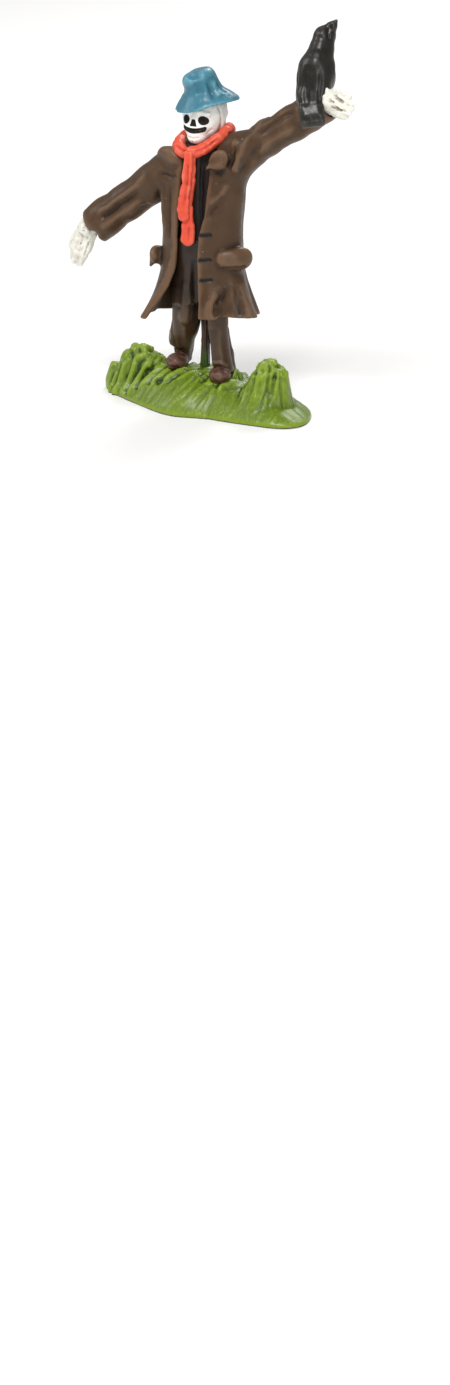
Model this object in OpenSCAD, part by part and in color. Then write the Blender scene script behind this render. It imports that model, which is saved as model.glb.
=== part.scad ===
// Scarecrow figure: a small painted display figure in 1:32 scale.
// It is put together from separate mouldings that plug into each other on pegs,
// one for each garment, limb and animal, on a ground piece with rough grass.
//
// Millimetres. The origin is where the pole's axis meets the underside of the
// ground piece. +Z is up and the figure faces -Y. Left and right are the
// figure's own: its left arm is raised towards +X, its right arm hangs towards -X.

/* [Ground piece] */
// Half length of the ground piece along X
ground_half_x = 23.5; // [21:0.5:28]
// Half width of the ground piece along Y
ground_half_y = 9.8; // [8.6:0.2:12]
// Height of the mound under the boots
mound_h = 6.2; // [5.5:0.1:7]
// Height of the grass tuft beside the left boot
tuft_left_h = 9.8; // [8:0.2:12]
// Height of the grass tuft beside the right boot
tuft_right_h = 8.6; // [7.5:0.1:11]

/* [Pole] */
// Diameter of the pole that carries the figure
pole_d = 1.4; // [1:0.1:1.6]

/* [Coat] */
// Height of the coat's hem above the table
hem_z = 15; // [14:0.2:16.5]
// How far the skirt's corners flare out
skirt_flare = 2.6; // [0:0.1:3.5]
// Wall thickness of the coat
coat_wall = 1; // [0.8:0.05:1.2]
// Width of the open front at the chest
front_gap = 3.8; // [3:0.1:4.4]

/* [Arms] */
// Length of the raised left sleeve from the shoulder
sleeve_left_len = 20.6; // [18:0.2:23]
// Length of the hanging right sleeve from the shoulder
sleeve_right_len = 19; // [17:0.2:21]
// Diameter of the sleeves at the cuff
cuff_d = 5.8; // [5:0.1:6.6]

/* [Head] */
// Width of the head
head_w = 7.6; // [7:0.1:8]
// Diameter of the hat's brim
brim_d = 11.4; // [10:0.1:13]
// Height of the hat's crown above its brim
crown_h = 7; // [6:0.1:8]
// How far the hat leans over to the right
hat_tilt = 11; // [0:1:14]

/* [Fits] */
// Diameter of the assembly pegs
peg_d = 1.6; // [1.2:0.1:1.8]
// Clearance round a peg and between mouldings
gap = 0.04; // [0.02:0.01:0.08]

/* [Hidden] */

$fn = 32;
sides = 28;               // points round a lofted limb
coat_sides = 40;          // points round the coat
far = 60;                 // longer than the whole figure

// Ground piece
ground_at = [3.4, -1.6];  // middle of the ground piece
ground_skew = [-0.9, 0.1]; // how far its left end comes forward, and how much wider it is
ground_power = 2.5;       // 2 is an ellipse; more has blunter ends
ground_rim = 1.1;         // thickness at the edge
ground_rings = 10;
tuft_left_at = [15.6, -3.4];
tuft_right_at = [-13, -0.8];
tuft_w = 2.6;
pole_foot = 2;            // the pole's socket stops here
pole_top = 50;            // inside the head

// Feet: [heel, toe] on the mound
boot_left_foot = [[4.5, -0.8], [5.6, -4.4]];
boot_right_foot = [[-4.8, 0.9], [-5.7, -3.4]];
boot_r = 1.35;
sole_z = mound_h - 0.5;
ankle_peg_top = sole_z + 5;
sole_peg_len = 1.6;

// Legs: rings of [z, x, y, half width, half depth]
leg_left = [
    [7.2, 4.5, -0.9, 2.5, 3.4], [9, 4.2, -1.2, 2.2, 3.3], [12, 3.8, -1.5, 2.1, 3.2],
    [16, 3.6, -1.6, 2.3, 3.2], [20, 3.5, -1.7, 2.4, 3.2]
];
leg_right = [
    [7.2, -4.8, 0.7, 2.1, 2.2], [9, -4.6, -0.2, 2.2, 2.4], [12, -4.1, -1.6, 2.6, 2.9],
    [16, -3.8, -1.9, 2.7, 3.1], [20, -3.6, -1.7, 2.5, 3.2]
];
hips_z = 17.5;            // underside of the hip block, just inside the hem
waist_z = 30;
shirt_top_z = 46.4;
waist_peg_len = 3;
waist_peg_x = 4.2;

// Coat: rings of [z, x, y, half width, half depth]
coat_rings = [
    [hem_z, 1, -1.8, 9.5, 6], [18, 0.9, -1.9, 8.9, 5.7], [22, 0.7, -1.8, 8.4, 5.3],
    [27, 0.6, -1.8, 8.1, 5], [33, 0.5, -1.7, 8, 4.9], [38, 0.4, -1.3, 8.1, 4.8],
    [41.5, 0.2, -0.9, 7.9, 4.6], [44, 0, -0.6, 6.9, 4.2], [45.6, -0.1, -0.4, 5.4, 3.9],
    [46.6, -0.1, -0.3, 4.3, 3.6]
];
flare_top_z = 27;         // the skirt's folds begin here
// Skirt corners: [direction in degrees, share of the flare]
flares = [[-128, 1], [-62, 0.9], [-12, 1], [172, 0.45]];
flare_spread = 34;        // half angle that one corner takes up
chest_z = 33;             // the front gap is measured here
gap_growth = 0.05;        // how much the front gap widens per mm below the chest
lapel_gap = 6.4;          // front gap at the neck

// Arms: shoulder point and direction of each sleeve
shoulder_left = [6.4, -0.5, 43.2];
shoulder_right = [-6.2, -0.8, 41.6];
aim_left = [17.2, -0.1, 12];
aim_right = [-15, -1.9, -12];
shoulder_d = 7.2;
shoulder_peg_in = 4;      // how far the peg goes in from the shoulder point
hand_peg_len = 3;
hand_aim_left = [7.4, -3, 0.6];
hand_aim_right = [-4, -0.4, -6.6];

// Head and hat
head_at = [-0.2, 0, 0];
head_base_z = 46.9;
head_top_z = 55.4;
brim_z = 53.4;
brim_t = 0.9;

// Scarf
loop_z = 47;
loop_tilt = [8, -9, 0];   // lower at the front, higher at the left
loop_r = 4.2;
loop_t = 1.15;
tail_t = 1;
tail_front_w = 1.9;
tail_back_w = 2.1;

// Crow: rings of [x, y, z, half width, half depth, lean in degrees], tail to crown
crow_rings = [
    [22.9, -4, 52.4, 1.5, 0.5, 20], [22.7, -3.7, 54, 1.8, 0.8, 15],
    [22, -2.8, 56.6, 2.2, 1.2, 0], [21.5, -0.9, 59, 2.9, 2.9, -20],
    [21.2, 0.6, 61.2, 3, 3, -25], [21.1, 1.9, 63.4, 2.2, 2.3, -25],
    [21.2, 2.9, 65.3, 1.7, 1.8, -20], [21.5, 3.5, 67, 1.6, 1.7, -12],
    [22.2, 3.8, 68.1, 0.95, 1, -5], [23.4, 4, 69.8, 0.2, 0.2, 0]
];
crow_leg_d = 0.8;
crow_feet = [[19.9, 0.2], [22, 0.4]];
crow_foot_z = 54.5;
crow_belly_z = 59;

// ---------------------------------------------------------------- helpers

// A closed ring of n points round c, leaning by `lean` degrees about X.
function ring(c, a, b, n = sides, lean = 0) = [
    for (i = [0 : n - 1])
        let (t = 360 * i / n)
        c + [a * cos(t), b * sin(t) * cos(lean), b * sin(t) * sin(lean)]
];

// Rings of [z, x, y, half width, half depth], each made smaller by `inset`.
function upright(table, inset = 0, n = sides) = [
    for (r = table) ring([r[1], r[2], r[0]], r[3] - inset, r[4] - inset, n)
];

// Value at z in a table of rows that rise in z.
function row_at(table, z) =
    let (
        k = max([for (i = [0 : len(table) - 2]) table[i][0] <= z ? i : 0]),
        lo = table[k],
        hi = table[k + 1],
        t = (z - lo[0]) / (hi[0] - lo[0])
    )
    lo + (hi - lo) * t;

// The part of a table between two heights, with a row at each end.
function between(table, z0, z1) = concat(
    [row_at(table, z0)],
    [for (r = table) if (r[0] > z0 + 0.2 && r[0] < z1 - 0.2) r],
    [row_at(table, z1)]
);

// A closed solid through rings of equal length, in rising order.
module loft(rings) {
    n = len(rings[0]);
    m = len(rings);
    points = [for (r = rings) each r];
    walls = [
        for (j = [0 : m - 2], i = [0 : n - 1])
            let (a = j * n + i, b = j * n + (i + 1) % n, c = b + n, d = a + n)
            each [[a, d, c], [a, c, b]]
    ];
    floor_cap = [for (i = [0 : n - 1]) i];
    top_cap = [for (i = [n - 1 : -1 : 0]) (m - 1) * n + i];
    polyhedron(points, concat(walls, [floor_cap], [top_cap]), convexity = 6);
}

// Stands what is built along +Z on the line from p towards `aim`.
module along(p, aim) {
    translate(p)
        rotate([0, acos(aim[2] / norm(aim)), atan2(aim[1], aim[0])])
            children();
}

module peg(d, z0, z1) {
    translate([0, 0, z0]) cylinder(d = d, h = z1 - z0);
}

// ---------------------------------------------------------------- ground

function bump(x, y, at, w) = exp(-(pow(x - at[0], 2) + pow(y - at[1], 2)) / (w * w));

// Height of the turf: a mound that falls away to the rim, with two tufts on it.
function turf_z(x, y, share) =
    let (dome = ground_rim + (mound_h - ground_rim) * pow(1 - pow(share, 3), 0.7))
    dome
    + (tuft_left_h - mound_h + 1.2) * bump(x, y, tuft_left_at, tuft_w)
    + (tuft_right_h - mound_h + 0.9) * bump(x, y, tuft_right_at, tuft_w);

function blunt(v) = sign(v) * pow(abs(v), 2 / ground_power);

// The ground's outline at a share of its full size, on the turf or on the table.
function ground_ring(share, underside = false) = [
    for (i = [0 : coat_sides - 1])
        let (
            t = 360 * i / coat_sides,
            wave = 1 + 0.015 * cos(5 * t + 40),
            end = blunt(cos(t)) * share,
            side = blunt(sin(t)) * share * (1 + ground_skew[1] * end),
            x = ground_at[0] + ground_half_x * wave * end,
            y = ground_at[1] + ground_skew[0] * end + ground_half_y * wave * side
        )
        [x, y, underside ? 0 : turf_z(x, y, share)]
];

module turf() {
    loft(concat(
        [ground_ring(1, true)],
        [for (k = [0 : ground_rings - 1]) ground_ring(pow(1 - k / ground_rings, 0.8))],
        [[for (p = ground_ring(0.02)) [p[0], p[1], mound_h]]]
    ));
}

module ground_base() {
    color("olivedrab")
        difference() {
            turf();
            peg(pole_d + 2 * gap, pole_foot, far);
            boot(boot_left_foot, gap);
            boot(boot_right_foot, gap);
        }
}

module pole() {
    color("saddlebrown") peg(pole_d, pole_foot, pole_top);
}

// ---------------------------------------------------------------- legs

// A boot from heel to toe, with a peg into the ground and one into the leg.
module boot(foot, grow = 0) {
    heel = foot[0];
    toe = foot[1];
    r = boot_r + grow;
    hull() {
        translate([toe[0], toe[1], sole_z - grow]) cylinder(r = r, h = 0.8, $fn = 24);
        translate([toe[0], toe[1], sole_z + 0.7]) sphere(r = r - 0.1, $fn = 24);
        translate([heel[0], heel[1], sole_z - grow]) cylinder(r = r, h = 1.4 + grow, $fn = 24);
    }
    translate([heel[0], heel[1], 0])
        peg(peg_d + 2 * grow, sole_z - sole_peg_len - grow, ankle_peg_top + grow);
}

module boot_left() {
    color("sienna") boot(boot_left_foot);
}

module boot_right() {
    color("sienna") boot(boot_right_foot);
}

// Two pegs that join the hip block to the torso.
module waist_pegs(grow = 0) {
    for (s = [-1, 1])
        translate([s * waist_peg_x, -1.6, 0])
            peg(peg_d + 2 * grow, waist_z - 1, waist_z + waist_peg_len + grow);
}

// Two trouser legs that join in a hip block inside the coat.
module trousers() {
    color([0.29, 0.19, 0.14])
        difference() {
            union() {
                loft(upright(leg_left));
                loft(upright(leg_right));
                loft(upright(between(coat_rings, hips_z, waist_z), coat_wall + gap, coat_sides));
                waist_pegs();
            }
            peg(pole_d + 2 * gap, 0, far);
            boot(boot_left_foot, gap);
            boot(boot_right_foot, gap);
        }
}

// ---------------------------------------------------------------- trunk

module shoulder_peg(aim, shoulder, grow = 0) {
    along(shoulder, aim) peg(peg_d + 0.4 + 2 * grow, -shoulder_peg_in - grow, 6);
}

// The shirt that shows in the coat's open front.
module torso() {
    color([0.12, 0.09, 0.08])
        difference() {
            loft(upright(between(coat_rings, waist_z + gap, shirt_top_z), coat_wall + gap, coat_sides));
            peg(pole_d + 2 * gap, 0, far);
            waist_pegs(gap);
            shoulder_peg(aim_left, shoulder_left, gap);
            shoulder_peg(aim_right, shoulder_right, gap);
        }
}

function wrap(t) = t - 360 * round(t / 360);

// How far one skirt corner pushes the coat out at direction t and height z.
function corner_push(t, z) =
    let (drop = max(0, (flare_top_z - z) / (flare_top_z - hem_z)))
    skirt_flare * drop * drop * max([
        for (f = flares)
            let (d = min(90, 90 * abs(wrap(t - f[0])) / flare_spread))
            f[1] * pow(cos(d), 2)
    ]);

function coat_point(row, t, inset) =
    let (push = corner_push(t, row[0]))
    [
        row[1] + (row[3] - inset + push) * cos(t),
        row[2] + (row[4] - inset + push) * sin(t),
        row[0]
    ];

// Half angle of the open front at a height.
function front_half_angle(row) =
    let (
        z = row[0],
        open = z < chest_z
            ? front_gap + gap_growth * (chest_z - z)
            : front_gap + (lapel_gap - front_gap) * (z - chest_z) / (shirt_top_z - chest_z)
    )
    asin(min(0.95, open / 2 / row[3]));

// Directions round the coat from one front edge to the other.
function coat_turn(row) =
    let (half = front_half_angle(row), step = (360 - 2 * half) / coat_sides)
    [for (i = [0 : coat_sides]) -90 + half + i * step];

// An open shell: the outer face one way round, the inner face back again.
module open_shell(table, wall) {
    n = coat_sides + 1;
    m = len(table);
    outer = [for (r = table, t = coat_turn(r)) coat_point(r, t, 0)];
    inner = [for (r = table, t = coat_turn(r)) coat_point(r, t, wall)];
    q = n * m;
    skin_faces = [
        for (j = [0 : m - 2], i = [0 : n - 2])
            let (a = j * n + i, b = a + 1, c = b + n, d = a + n)
            each [
                [a, d, c], [a, c, b],
                [q + a, q + c, q + d], [q + a, q + b, q + c]
            ]
    ];
    rim_faces = [
        for (i = [0 : n - 2])
            let (a = i, b = i + 1, c = (m - 1) * n + i, d = c + 1)
            each [
                [a, b, q + b], [a, q + b, q + a],
                [c, q + d, d], [c, q + c, q + d]
            ]
    ];
    edge_faces = [
        for (j = [0 : m - 2])
            let (a = j * n, d = a + n, b = a + n - 1, c = b + n)
            each [
                [a, q + a, q + d], [a, q + d, d],
                [b, q + c, q + b], [b, c, q + c]
            ]
    ];
    polyhedron(concat(outer, inner), concat(skin_faces, rim_faces, edge_faces), convexity = 8);
}

// A pocket flap: a thin plate that stands off the coat's side.
module pocket_flap(at, turn) {
    translate(at) rotate([12, 0, turn])
        hull() {
            translate([-2.2, 0, 0]) sphere(r = 0.5, $fn = 12);
            translate([2.2, 0, 0]) sphere(r = 0.5, $fn = 12);
            translate([-1.7, -0.5, -2.6]) sphere(r = 0.6, $fn = 12);
            translate([1.7, -0.5, -2.6]) sphere(r = 0.6, $fn = 12);
        }
}

// One folded lapel beside the open front.
module lapel(x, turn) {
    translate([x, -5.6, 40]) rotate([-14, turn, 0])
        hull() {
            translate([0, 0, 3.4]) sphere(r = 0.5, $fn = 12);
            translate([1.6 * sign(x), 0.2, 1.6]) sphere(r = 0.5, $fn = 12);
            translate([0, 0, -1.6]) sphere(r = 0.4, $fn = 12);
        }
}

module coat() {
    color([0.36, 0.24, 0.17])
        difference() {
            union() {
                open_shell(coat_rings, coat_wall);
                pocket_flap([7.6, -5, 28.6], 30);
                pocket_flap([-6.6, -5.3, 26.8], -38);
                lapel(3.4, 10);
                lapel(-3.4, -10);
            }
            loft(upright(between(coat_rings, hips_z, shirt_top_z), coat_wall + gap / 2, coat_sides));
            shoulder_peg(aim_left, shoulder_left, gap);
            shoulder_peg(aim_right, shoulder_right, gap);
        }
}

// The coat's outside as one solid, to cut the sleeves' roots to.
module coat_envelope() {
    loft(upright(coat_rings, -gap, coat_sides));
}

// ---------------------------------------------------------------- arms

// A sleeve from the shoulder point outwards, with its peg and a socket for the hand.
module sleeve(shoulder, aim, len) {
    difference() {
        union() {
            difference() {
                along(shoulder, aim)
                    loft([
                        for (k = [0 : 6])
                            let (
                                t = k / 6,
                                r = (shoulder_d + (cuff_d - shoulder_d) * t) / 2
                                    + 0.25 * sin(360 * 1.5 * t)
                            )
                            ring([0, 0, 0.5 + (len - 0.5) * t], r, r * 0.92)
                    ]);
                coat_envelope();
            }
            shoulder_peg(aim, shoulder);
        }
        along(shoulder, aim) peg(peg_d + 2 * gap, len - hand_peg_len - gap, len + 1);
    }
}

module sleeve_left() {
    color([0.38, 0.25, 0.18])
        difference() {
            sleeve(shoulder_left, aim_left, sleeve_left_len);
            crow_solid(gap);
        }
}

module sleeve_right() {
    color([0.38, 0.25, 0.18]) sleeve(shoulder_right, aim_right, sleeve_right_len);
}

// A straw-filled glove along +Z: palm, four spread fingers and a thumb.
module straw_hand(palm_w, finger_len) {
    hull() {
        translate([0, 0, gap + 0.9]) sphere(r = 0.9, $fn = 16);
        for (s = [-1, 1])
            translate([s * (palm_w / 2 - 0.7), 0, 4]) sphere(r = 0.7, $fn = 16);
    }
    for (k = [-1.5 : 1 : 1.5])
        hull() {
            translate([k * palm_w / 4.4, 0, 3.8]) sphere(r = 0.55, $fn = 12);
            translate([k * palm_w / 3.2, 0.3, 3.8 + finger_len - abs(k) * 0.4]) sphere(r = 0.45, $fn = 12);
        }
    hull() {
        translate([palm_w / 3, 0, 2]) sphere(r = 0.55, $fn = 12);
        translate([palm_w / 2 + 1, -0.4, 4.2]) sphere(r = 0.4, $fn = 12);
    }
}

function sleeve_end(shoulder, aim, len) = shoulder + aim / norm(aim) * (len + gap);

// A hand at a sleeve's end, with its peg straight into the sleeve.
module hand(shoulder, aim, len, hand_aim, palm_turn) {
    wrist = sleeve_end(shoulder, aim, len);
    along(wrist, aim) peg(peg_d, -hand_peg_len, 1);
    along(wrist, hand_aim) rotate([0, 0, palm_turn]) straw_hand(3.8, 4);
}

module hand_left() {
    color("ivory") hand(shoulder_left, aim_left, sleeve_left_len, hand_aim_left, 40);
}

module hand_right() {
    color("ivory") hand(shoulder_right, aim_right, sleeve_right_len, hand_aim_right, 0);
}

// ---------------------------------------------------------------- head

// Rings of the skull, chin to crown.
head_rings = [
    [head_base_z, 0, -0.9, 1.9, 2.2], [48, 0, -0.7, 2.6, 3], [49.4, 0, -0.4, 3.1, 3.5],
    [51, 0, 0, 3.6, 3.8], [52.8, 0, 0.1, 3.8, 3.9], [54.2, 0, 0.1, 3.3, 3.4],
    [head_top_z, 0, 0.1, 1.6, 1.7]
];

module skull(grow = 0) {
    s = head_w / 7.6;
    loft([
        for (r = head_rings)
            ring(head_at + [0, r[2], r[0] + (r == head_rings[len(head_rings) - 1] ? grow : 0)],
                r[3] * s + grow, r[4] * s + grow)
    ]);
}

module head() {
    color("ivory")
        difference() {
            skull();
            peg(pole_d + 2 * gap, 0, pole_top + gap);
            for (s = [-1, 1])
                translate(head_at + [s * 1.35, -4.1, 51.3]) sphere(r = 0.9);
            translate(head_at + [0, -4.3, 50.2]) sphere(r = 0.5);
            hull()
                for (s = [-1, 1])
                    translate(head_at + [s * 1.2, -3.9, 49]) sphere(r = 0.45, $fn = 16);
        }
}

// A soft felt hat, turned in section and pinched at the top.
module hat() {
    r = brim_d / 2;
    color("steelblue")
        difference() {
            translate([0, 0, brim_z]) rotate([3, -hat_tilt, 0])
                difference() {
                    rotate_extrude()
                        polygon([
                            [0, -1.2], [r - 0.9, -1.2], [r, -1], [r, -1 + brim_t * 0.4],
                            [r - 1, 0.6], [r - 1.9, 2.2], [r - 2.3, 4], [r - 2.6, crown_h - 0.6],
                            [r - 3.3, crown_h - 0.1], [0, crown_h - 0.6]
                        ]);
                    translate([0, -r, crown_h + 2.4]) rotate([-60, 0, 0]) cylinder(r = 2.6, h = 6);
                }
            skull(gap);
        }
}

// ---------------------------------------------------------------- scarf

module scarf_ring(grow = 0) {
    translate([-0.2, 0, loop_z]) rotate(loop_tilt)
        rotate_extrude()
            translate([loop_r, 0]) circle(r = loop_t + grow);
}

module scarf_loop() {
    color("tomato")
        difference() {
            scarf_ring();
            skull(gap);
            coat_envelope();
            loft(upright(between(coat_rings, 40, 46.5), coat_wall - gap, coat_sides));
        }
}

// A strip of cloth through a list of points, flattened towards the chest.
module strip(path, w) {
    for (i = [0 : len(path) - 2])
        hull()
            for (p = [path[i], path[i + 1]])
                for (s = [-1, 1])
                    translate(p + [s * (w - tail_t) / 2, 0, 0]) sphere(d = tail_t, $fn = 16);
}

module scarf_tail_front() {
    color("tomato")
        difference() {
            strip([[-1, -6.6, 45.6], [-0.9, -7.1, 41], [-0.7, -7.15, 34]], tail_front_w);
            scarf_ring(gap);
        }
}

module scarf_tail_back() {
    color("orangered")
        difference() {
            strip([[-0.6, -5.9, 44.6], [-0.6, -6.05, 41], [-0.4, -6.05, 29]], tail_back_w);
            scarf_ring(gap);
        }
}

// ---------------------------------------------------------------- crow

module crow_solid(grow = 0) {
    loft([for (r = crow_rings) ring([r[0], r[1], r[2]], r[3] + grow, r[4] + grow, sides, r[5])]);
    for (f = crow_feet)
        translate([f[0], f[1], 0]) peg(crow_leg_d + 2 * grow, crow_foot_z - grow, crow_belly_z);
}

module crow() {
    color([0.13, 0.12, 0.11]) crow_solid();
}

// ---------------------------------------------------------------- nodes

ground_base();
pole();
boot_left();
boot_right();
trousers();
torso();
coat();
sleeve_left();
sleeve_right();
hand_left();
hand_right();
head();
hat();
scarf_loop();
scarf_tail_front();
scarf_tail_back();
crow();
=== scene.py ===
"""The look of the scarecrow figure: moulded plastic, painted by hand."""
import math

import bpy
import numpy as np
from mathutils import Euler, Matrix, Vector


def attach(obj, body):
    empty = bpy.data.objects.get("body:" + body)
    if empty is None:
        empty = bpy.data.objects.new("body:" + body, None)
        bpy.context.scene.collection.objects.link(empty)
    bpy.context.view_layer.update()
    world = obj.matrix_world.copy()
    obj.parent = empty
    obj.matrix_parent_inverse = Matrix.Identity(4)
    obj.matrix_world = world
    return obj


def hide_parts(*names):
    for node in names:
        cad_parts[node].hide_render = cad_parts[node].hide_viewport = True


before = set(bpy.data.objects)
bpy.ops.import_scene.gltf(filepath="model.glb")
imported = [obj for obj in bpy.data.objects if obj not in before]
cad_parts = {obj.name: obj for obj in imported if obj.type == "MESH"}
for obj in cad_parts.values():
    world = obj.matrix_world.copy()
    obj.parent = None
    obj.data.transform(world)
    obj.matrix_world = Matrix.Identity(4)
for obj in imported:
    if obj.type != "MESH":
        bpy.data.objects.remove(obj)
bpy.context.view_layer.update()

MM = 0.001
BRUSH_MM = 0.6  # width of a brush stroke

# ---------------- clay
# A shape is (distance, low, high): a function of x, y and z in mm that is
# negative inside, and the box that holds it.


def smooth_min(a, b, soft):
    if not soft:
        return np.minimum(a, b)
    h = np.clip(0.5 + 0.5 * (b - a) / soft, 0, 1)
    return b + (a - b) * h - soft * h * (1 - h)


def limb(a, b, ra, rb=None):
    """A round bar from a to b whose radius goes from ra to rb."""
    a, b = np.array(a, float), np.array(b, float)
    rb = ra if rb is None else rb
    along = b - a
    length = max(float(along @ along), 1e-9)

    def distance(x, y, z):
        t = ((x - a[0]) * along[0] + (y - a[1]) * along[1] + (z - a[2]) * along[2]) / length
        t = np.clip(t, 0, 1)
        away = np.sqrt(
            (x - a[0] - t * along[0]) ** 2 + (y - a[1] - t * along[1]) ** 2 + (z - a[2] - t * along[2]) ** 2
        )
        return away - (ra + (rb - ra) * t)

    big = max(ra, rb)
    return distance, np.minimum(a, b) - big, np.maximum(a, b) + big


def egg(centre, radii, turn=(0, 0, 0)):
    """An ellipsoid, turned by degrees about X, Y and Z."""
    c, r = np.array(centre, float), np.array(radii, float)
    m = np.array(Euler([math.radians(t) for t in turn]).to_matrix()).T

    def distance(x, y, z):
        p = [m[i][0] * (x - c[0]) + m[i][1] * (y - c[1]) + m[i][2] * (z - c[2]) for i in range(3)]
        k = np.sqrt(sum((p[i] / r[i]) ** 2 for i in range(3)))
        slope = np.sqrt(sum((p[i] / r[i] ** 2) ** 2 for i in range(3)))
        return k * (k - 1) / np.maximum(slope, 1e-6)

    return distance, c - max(radii), c + max(radii)


def flat_bar(a, b, half_w, half_t, across):
    """A bar from a to b, half_w wide along the direction `across` and half_t thick."""
    a, b = np.array(a, float), np.array(b, float)
    along = (b - a) / np.linalg.norm(b - a)
    side = np.array(across, float)
    side = side - along * (side @ along)
    side = side / np.linalg.norm(side)
    face = np.cross(along, side)
    length = np.linalg.norm(b - a)

    def distance(x, y, z):
        rel = (x - a[0], y - a[1], z - a[2])
        u = sum(rel[i] * along[i] for i in range(3))
        v = sum(rel[i] * side[i] for i in range(3))
        w = sum(rel[i] * face[i] for i in range(3))
        u = u - np.clip(u, 0, length)
        v = v - np.clip(v, half_t - half_w, half_w - half_t)
        return np.sqrt(u * u + v * v + w * w) - half_t

    return distance, np.minimum(a, b) - half_w, np.maximum(a, b) + half_w


def curve_through(rows, n=90):
    """Rows of numbers made smooth: a Catmull-Rom curve sampled at n places."""
    rows = np.array(rows, float)
    ends = np.vstack([2 * rows[0] - rows[1], rows, 2 * rows[-1] - rows[-2]])
    s = np.linspace(0, len(rows) - 1 - 1e-9, n)
    k, t = s.astype(int), (s % 1)[:, None]
    p0, p1, p2, p3 = ends[k], ends[k + 1], ends[k + 2], ends[k + 3]
    return 0.5 * (2 * p1 + (p2 - p0) * t + (2 * p0 - 5 * p1 + 4 * p2 - p3) * t**2
                  + (3 * p1 - p0 - 3 * p2 + p3) * t**3)


def upright(rows, swell=None, grow=0):
    """A column through rows of [z, x, y, half width, half depth]. swell(angle, z) moves its wall out."""
    table = curve_through(rows)
    table = table[np.argsort(table[:, 0])]
    big = max(table[:, 3].max(), table[:, 4].max()) + 5

    def distance(x, y, z):
        cx, cy, a, b = (np.interp(z, table[:, 0], table[:, i]) for i in range(1, 5))
        dx, dy = x - cx, y - cy
        k = np.sqrt((dx / a) ** 2 + (dy / b) ** 2)
        away = np.hypot(dx, dy) * (1 - 1 / np.maximum(k, 0.05)) - grow
        if swell is not None:
            away = away - swell(np.arctan2(dy, dx), z)
        return np.maximum(away, np.maximum(z - table[-1, 0], table[0, 0] - z))

    low = [table[:, 1].min() - big, table[:, 2].min() - big, table[0, 0]]
    high = [table[:, 1].max() + big, table[:, 2].max() + big, table[-1, 0]]
    return distance, np.array(low), np.array(high)


class Clay:
    """A block of space, sampled every `step` mm, that shapes are added to and cut from."""

    def __init__(self, low, high, step):
        self.low, self.step = np.array(low, float), step
        self.axes = [np.arange(a, b + step, step).astype(np.float32) for a, b in zip(low, high)]
        self.d = np.full([len(a) for a in self.axes], 5, np.float32)

    def window(self, low, high, margin):
        part = tuple(
            slice(max(0, int((first - margin - axis[0]) / self.step)),
                  max(0, int((last + margin - axis[0]) / self.step) + 2))
            for first, last, axis in zip(low, high, self.axes)
        )
        x, y, z = (a[p] for a, p in zip(self.axes, part))
        return part, (x[:, None, None], y[None, :, None], z[None, None, :])

    def add(self, shape, soft=0):
        part, place = self.window(shape[1], shape[2], soft + 0.6)
        self.d[part] = smooth_min(self.d[part], shape[0](*place), soft)
        return self

    def cut(self, shape, soft=0):
        part, place = self.window(shape[1], shape[2], soft + 0.6)
        self.d[part] = -smooth_min(-self.d[part], shape[0](*place), soft)
        return self

    def chain(self, points, radii, soft=0.4):
        for a, b, ra, rb in zip(points, points[1:], radii, radii[1:]):
            self.add(limb(a, b, ra, rb), soft)
        return self

    def skin(self):
        """Vertices and quads of the clay's surface, in mm."""
        d = self.d.copy()
        for axis in range(3):
            for end in (0, -1):
                np.moveaxis(d, axis, 0)[end] = 1
        inside = d < 0
        n = [s - 1 for s in d.shape]
        count = np.zeros(n, np.int8)
        for corner in np.ndindex(2, 2, 2):
            count += inside[tuple(slice(c, m + c) for c, m in zip(corner, n))]
        cells = np.argwhere((count > 0) & (count < 8))
        number = np.full(n, -1, np.int32)
        number[tuple(cells.T)] = np.arange(len(cells))
        total, hits = np.zeros((len(cells), 3)), np.zeros(len(cells))
        for axis in range(3):
            one = np.eye(3, dtype=int)
            b, c = one[(axis + 1) % 3], one[(axis + 2) % 3]
            for start in (0 * b, b, c, b + c):
                d0, d1 = (d[tuple((cells + p).T)] for p in (start, start + one[axis]))
                crossed = (d0 < 0) != (d1 < 0)
                t = np.where(crossed, d0 / np.where(crossed, d0 - d1, 1), 0)
                total += (start + t[:, None] * one[axis]) * crossed[:, None]
                hits += crossed
        verts = (cells + total / hits[:, None]) * self.step + self.low
        quads = []
        for axis in range(3):
            one = np.eye(3, dtype=int)
            b, c = one[(axis + 1) % 3], one[(axis + 2) % 3]
            near = [slice(1, s - 1) for s in d.shape]
            near[axis] = slice(0, n[axis])
            far = list(near)
            far[axis] = slice(1, n[axis] + 1)
            first = inside[tuple(near)]
            edges = np.argwhere(first != inside[tuple(far)])
            out = first[tuple(edges.T)]
            at = edges + 1 - one[axis]
            q = np.stack([number[tuple((at - s).T)] for s in (b + c, c, 0 * b, b)], 1)
            quads.append(np.where(out[:, None], q, q[:, ::-1]))
        return verts, np.vstack(quads)


# ---------------- skins


def neighbours(count, quads):
    a = quads.ravel()
    b = np.roll(quads, -1, axis=1).ravel()
    return np.concatenate([a, b]), np.concatenate([b, a])


def smoothed(values, links, count, times, share=0.5):
    a, b = links
    number = np.maximum(np.bincount(a, minlength=count), 1)
    for _ in range(times):
        mean = np.stack([np.bincount(a, values[b, i], count) for i in range(values.shape[1])], 1)
        values = values + share * (mean / number[:, None] - values)
    return values


def normals_of(verts, quads):
    p = verts[quads]
    face = np.cross(p[:, 2] - p[:, 0], p[:, 3] - p[:, 1])
    total = np.zeros_like(verts)
    for i in range(3):
        for corner in range(4):
            total[:, i] += np.bincount(quads[:, corner], face[:, i], len(verts))
    return total / np.maximum(np.linalg.norm(total, axis=1), 1e-12)[:, None]


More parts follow.
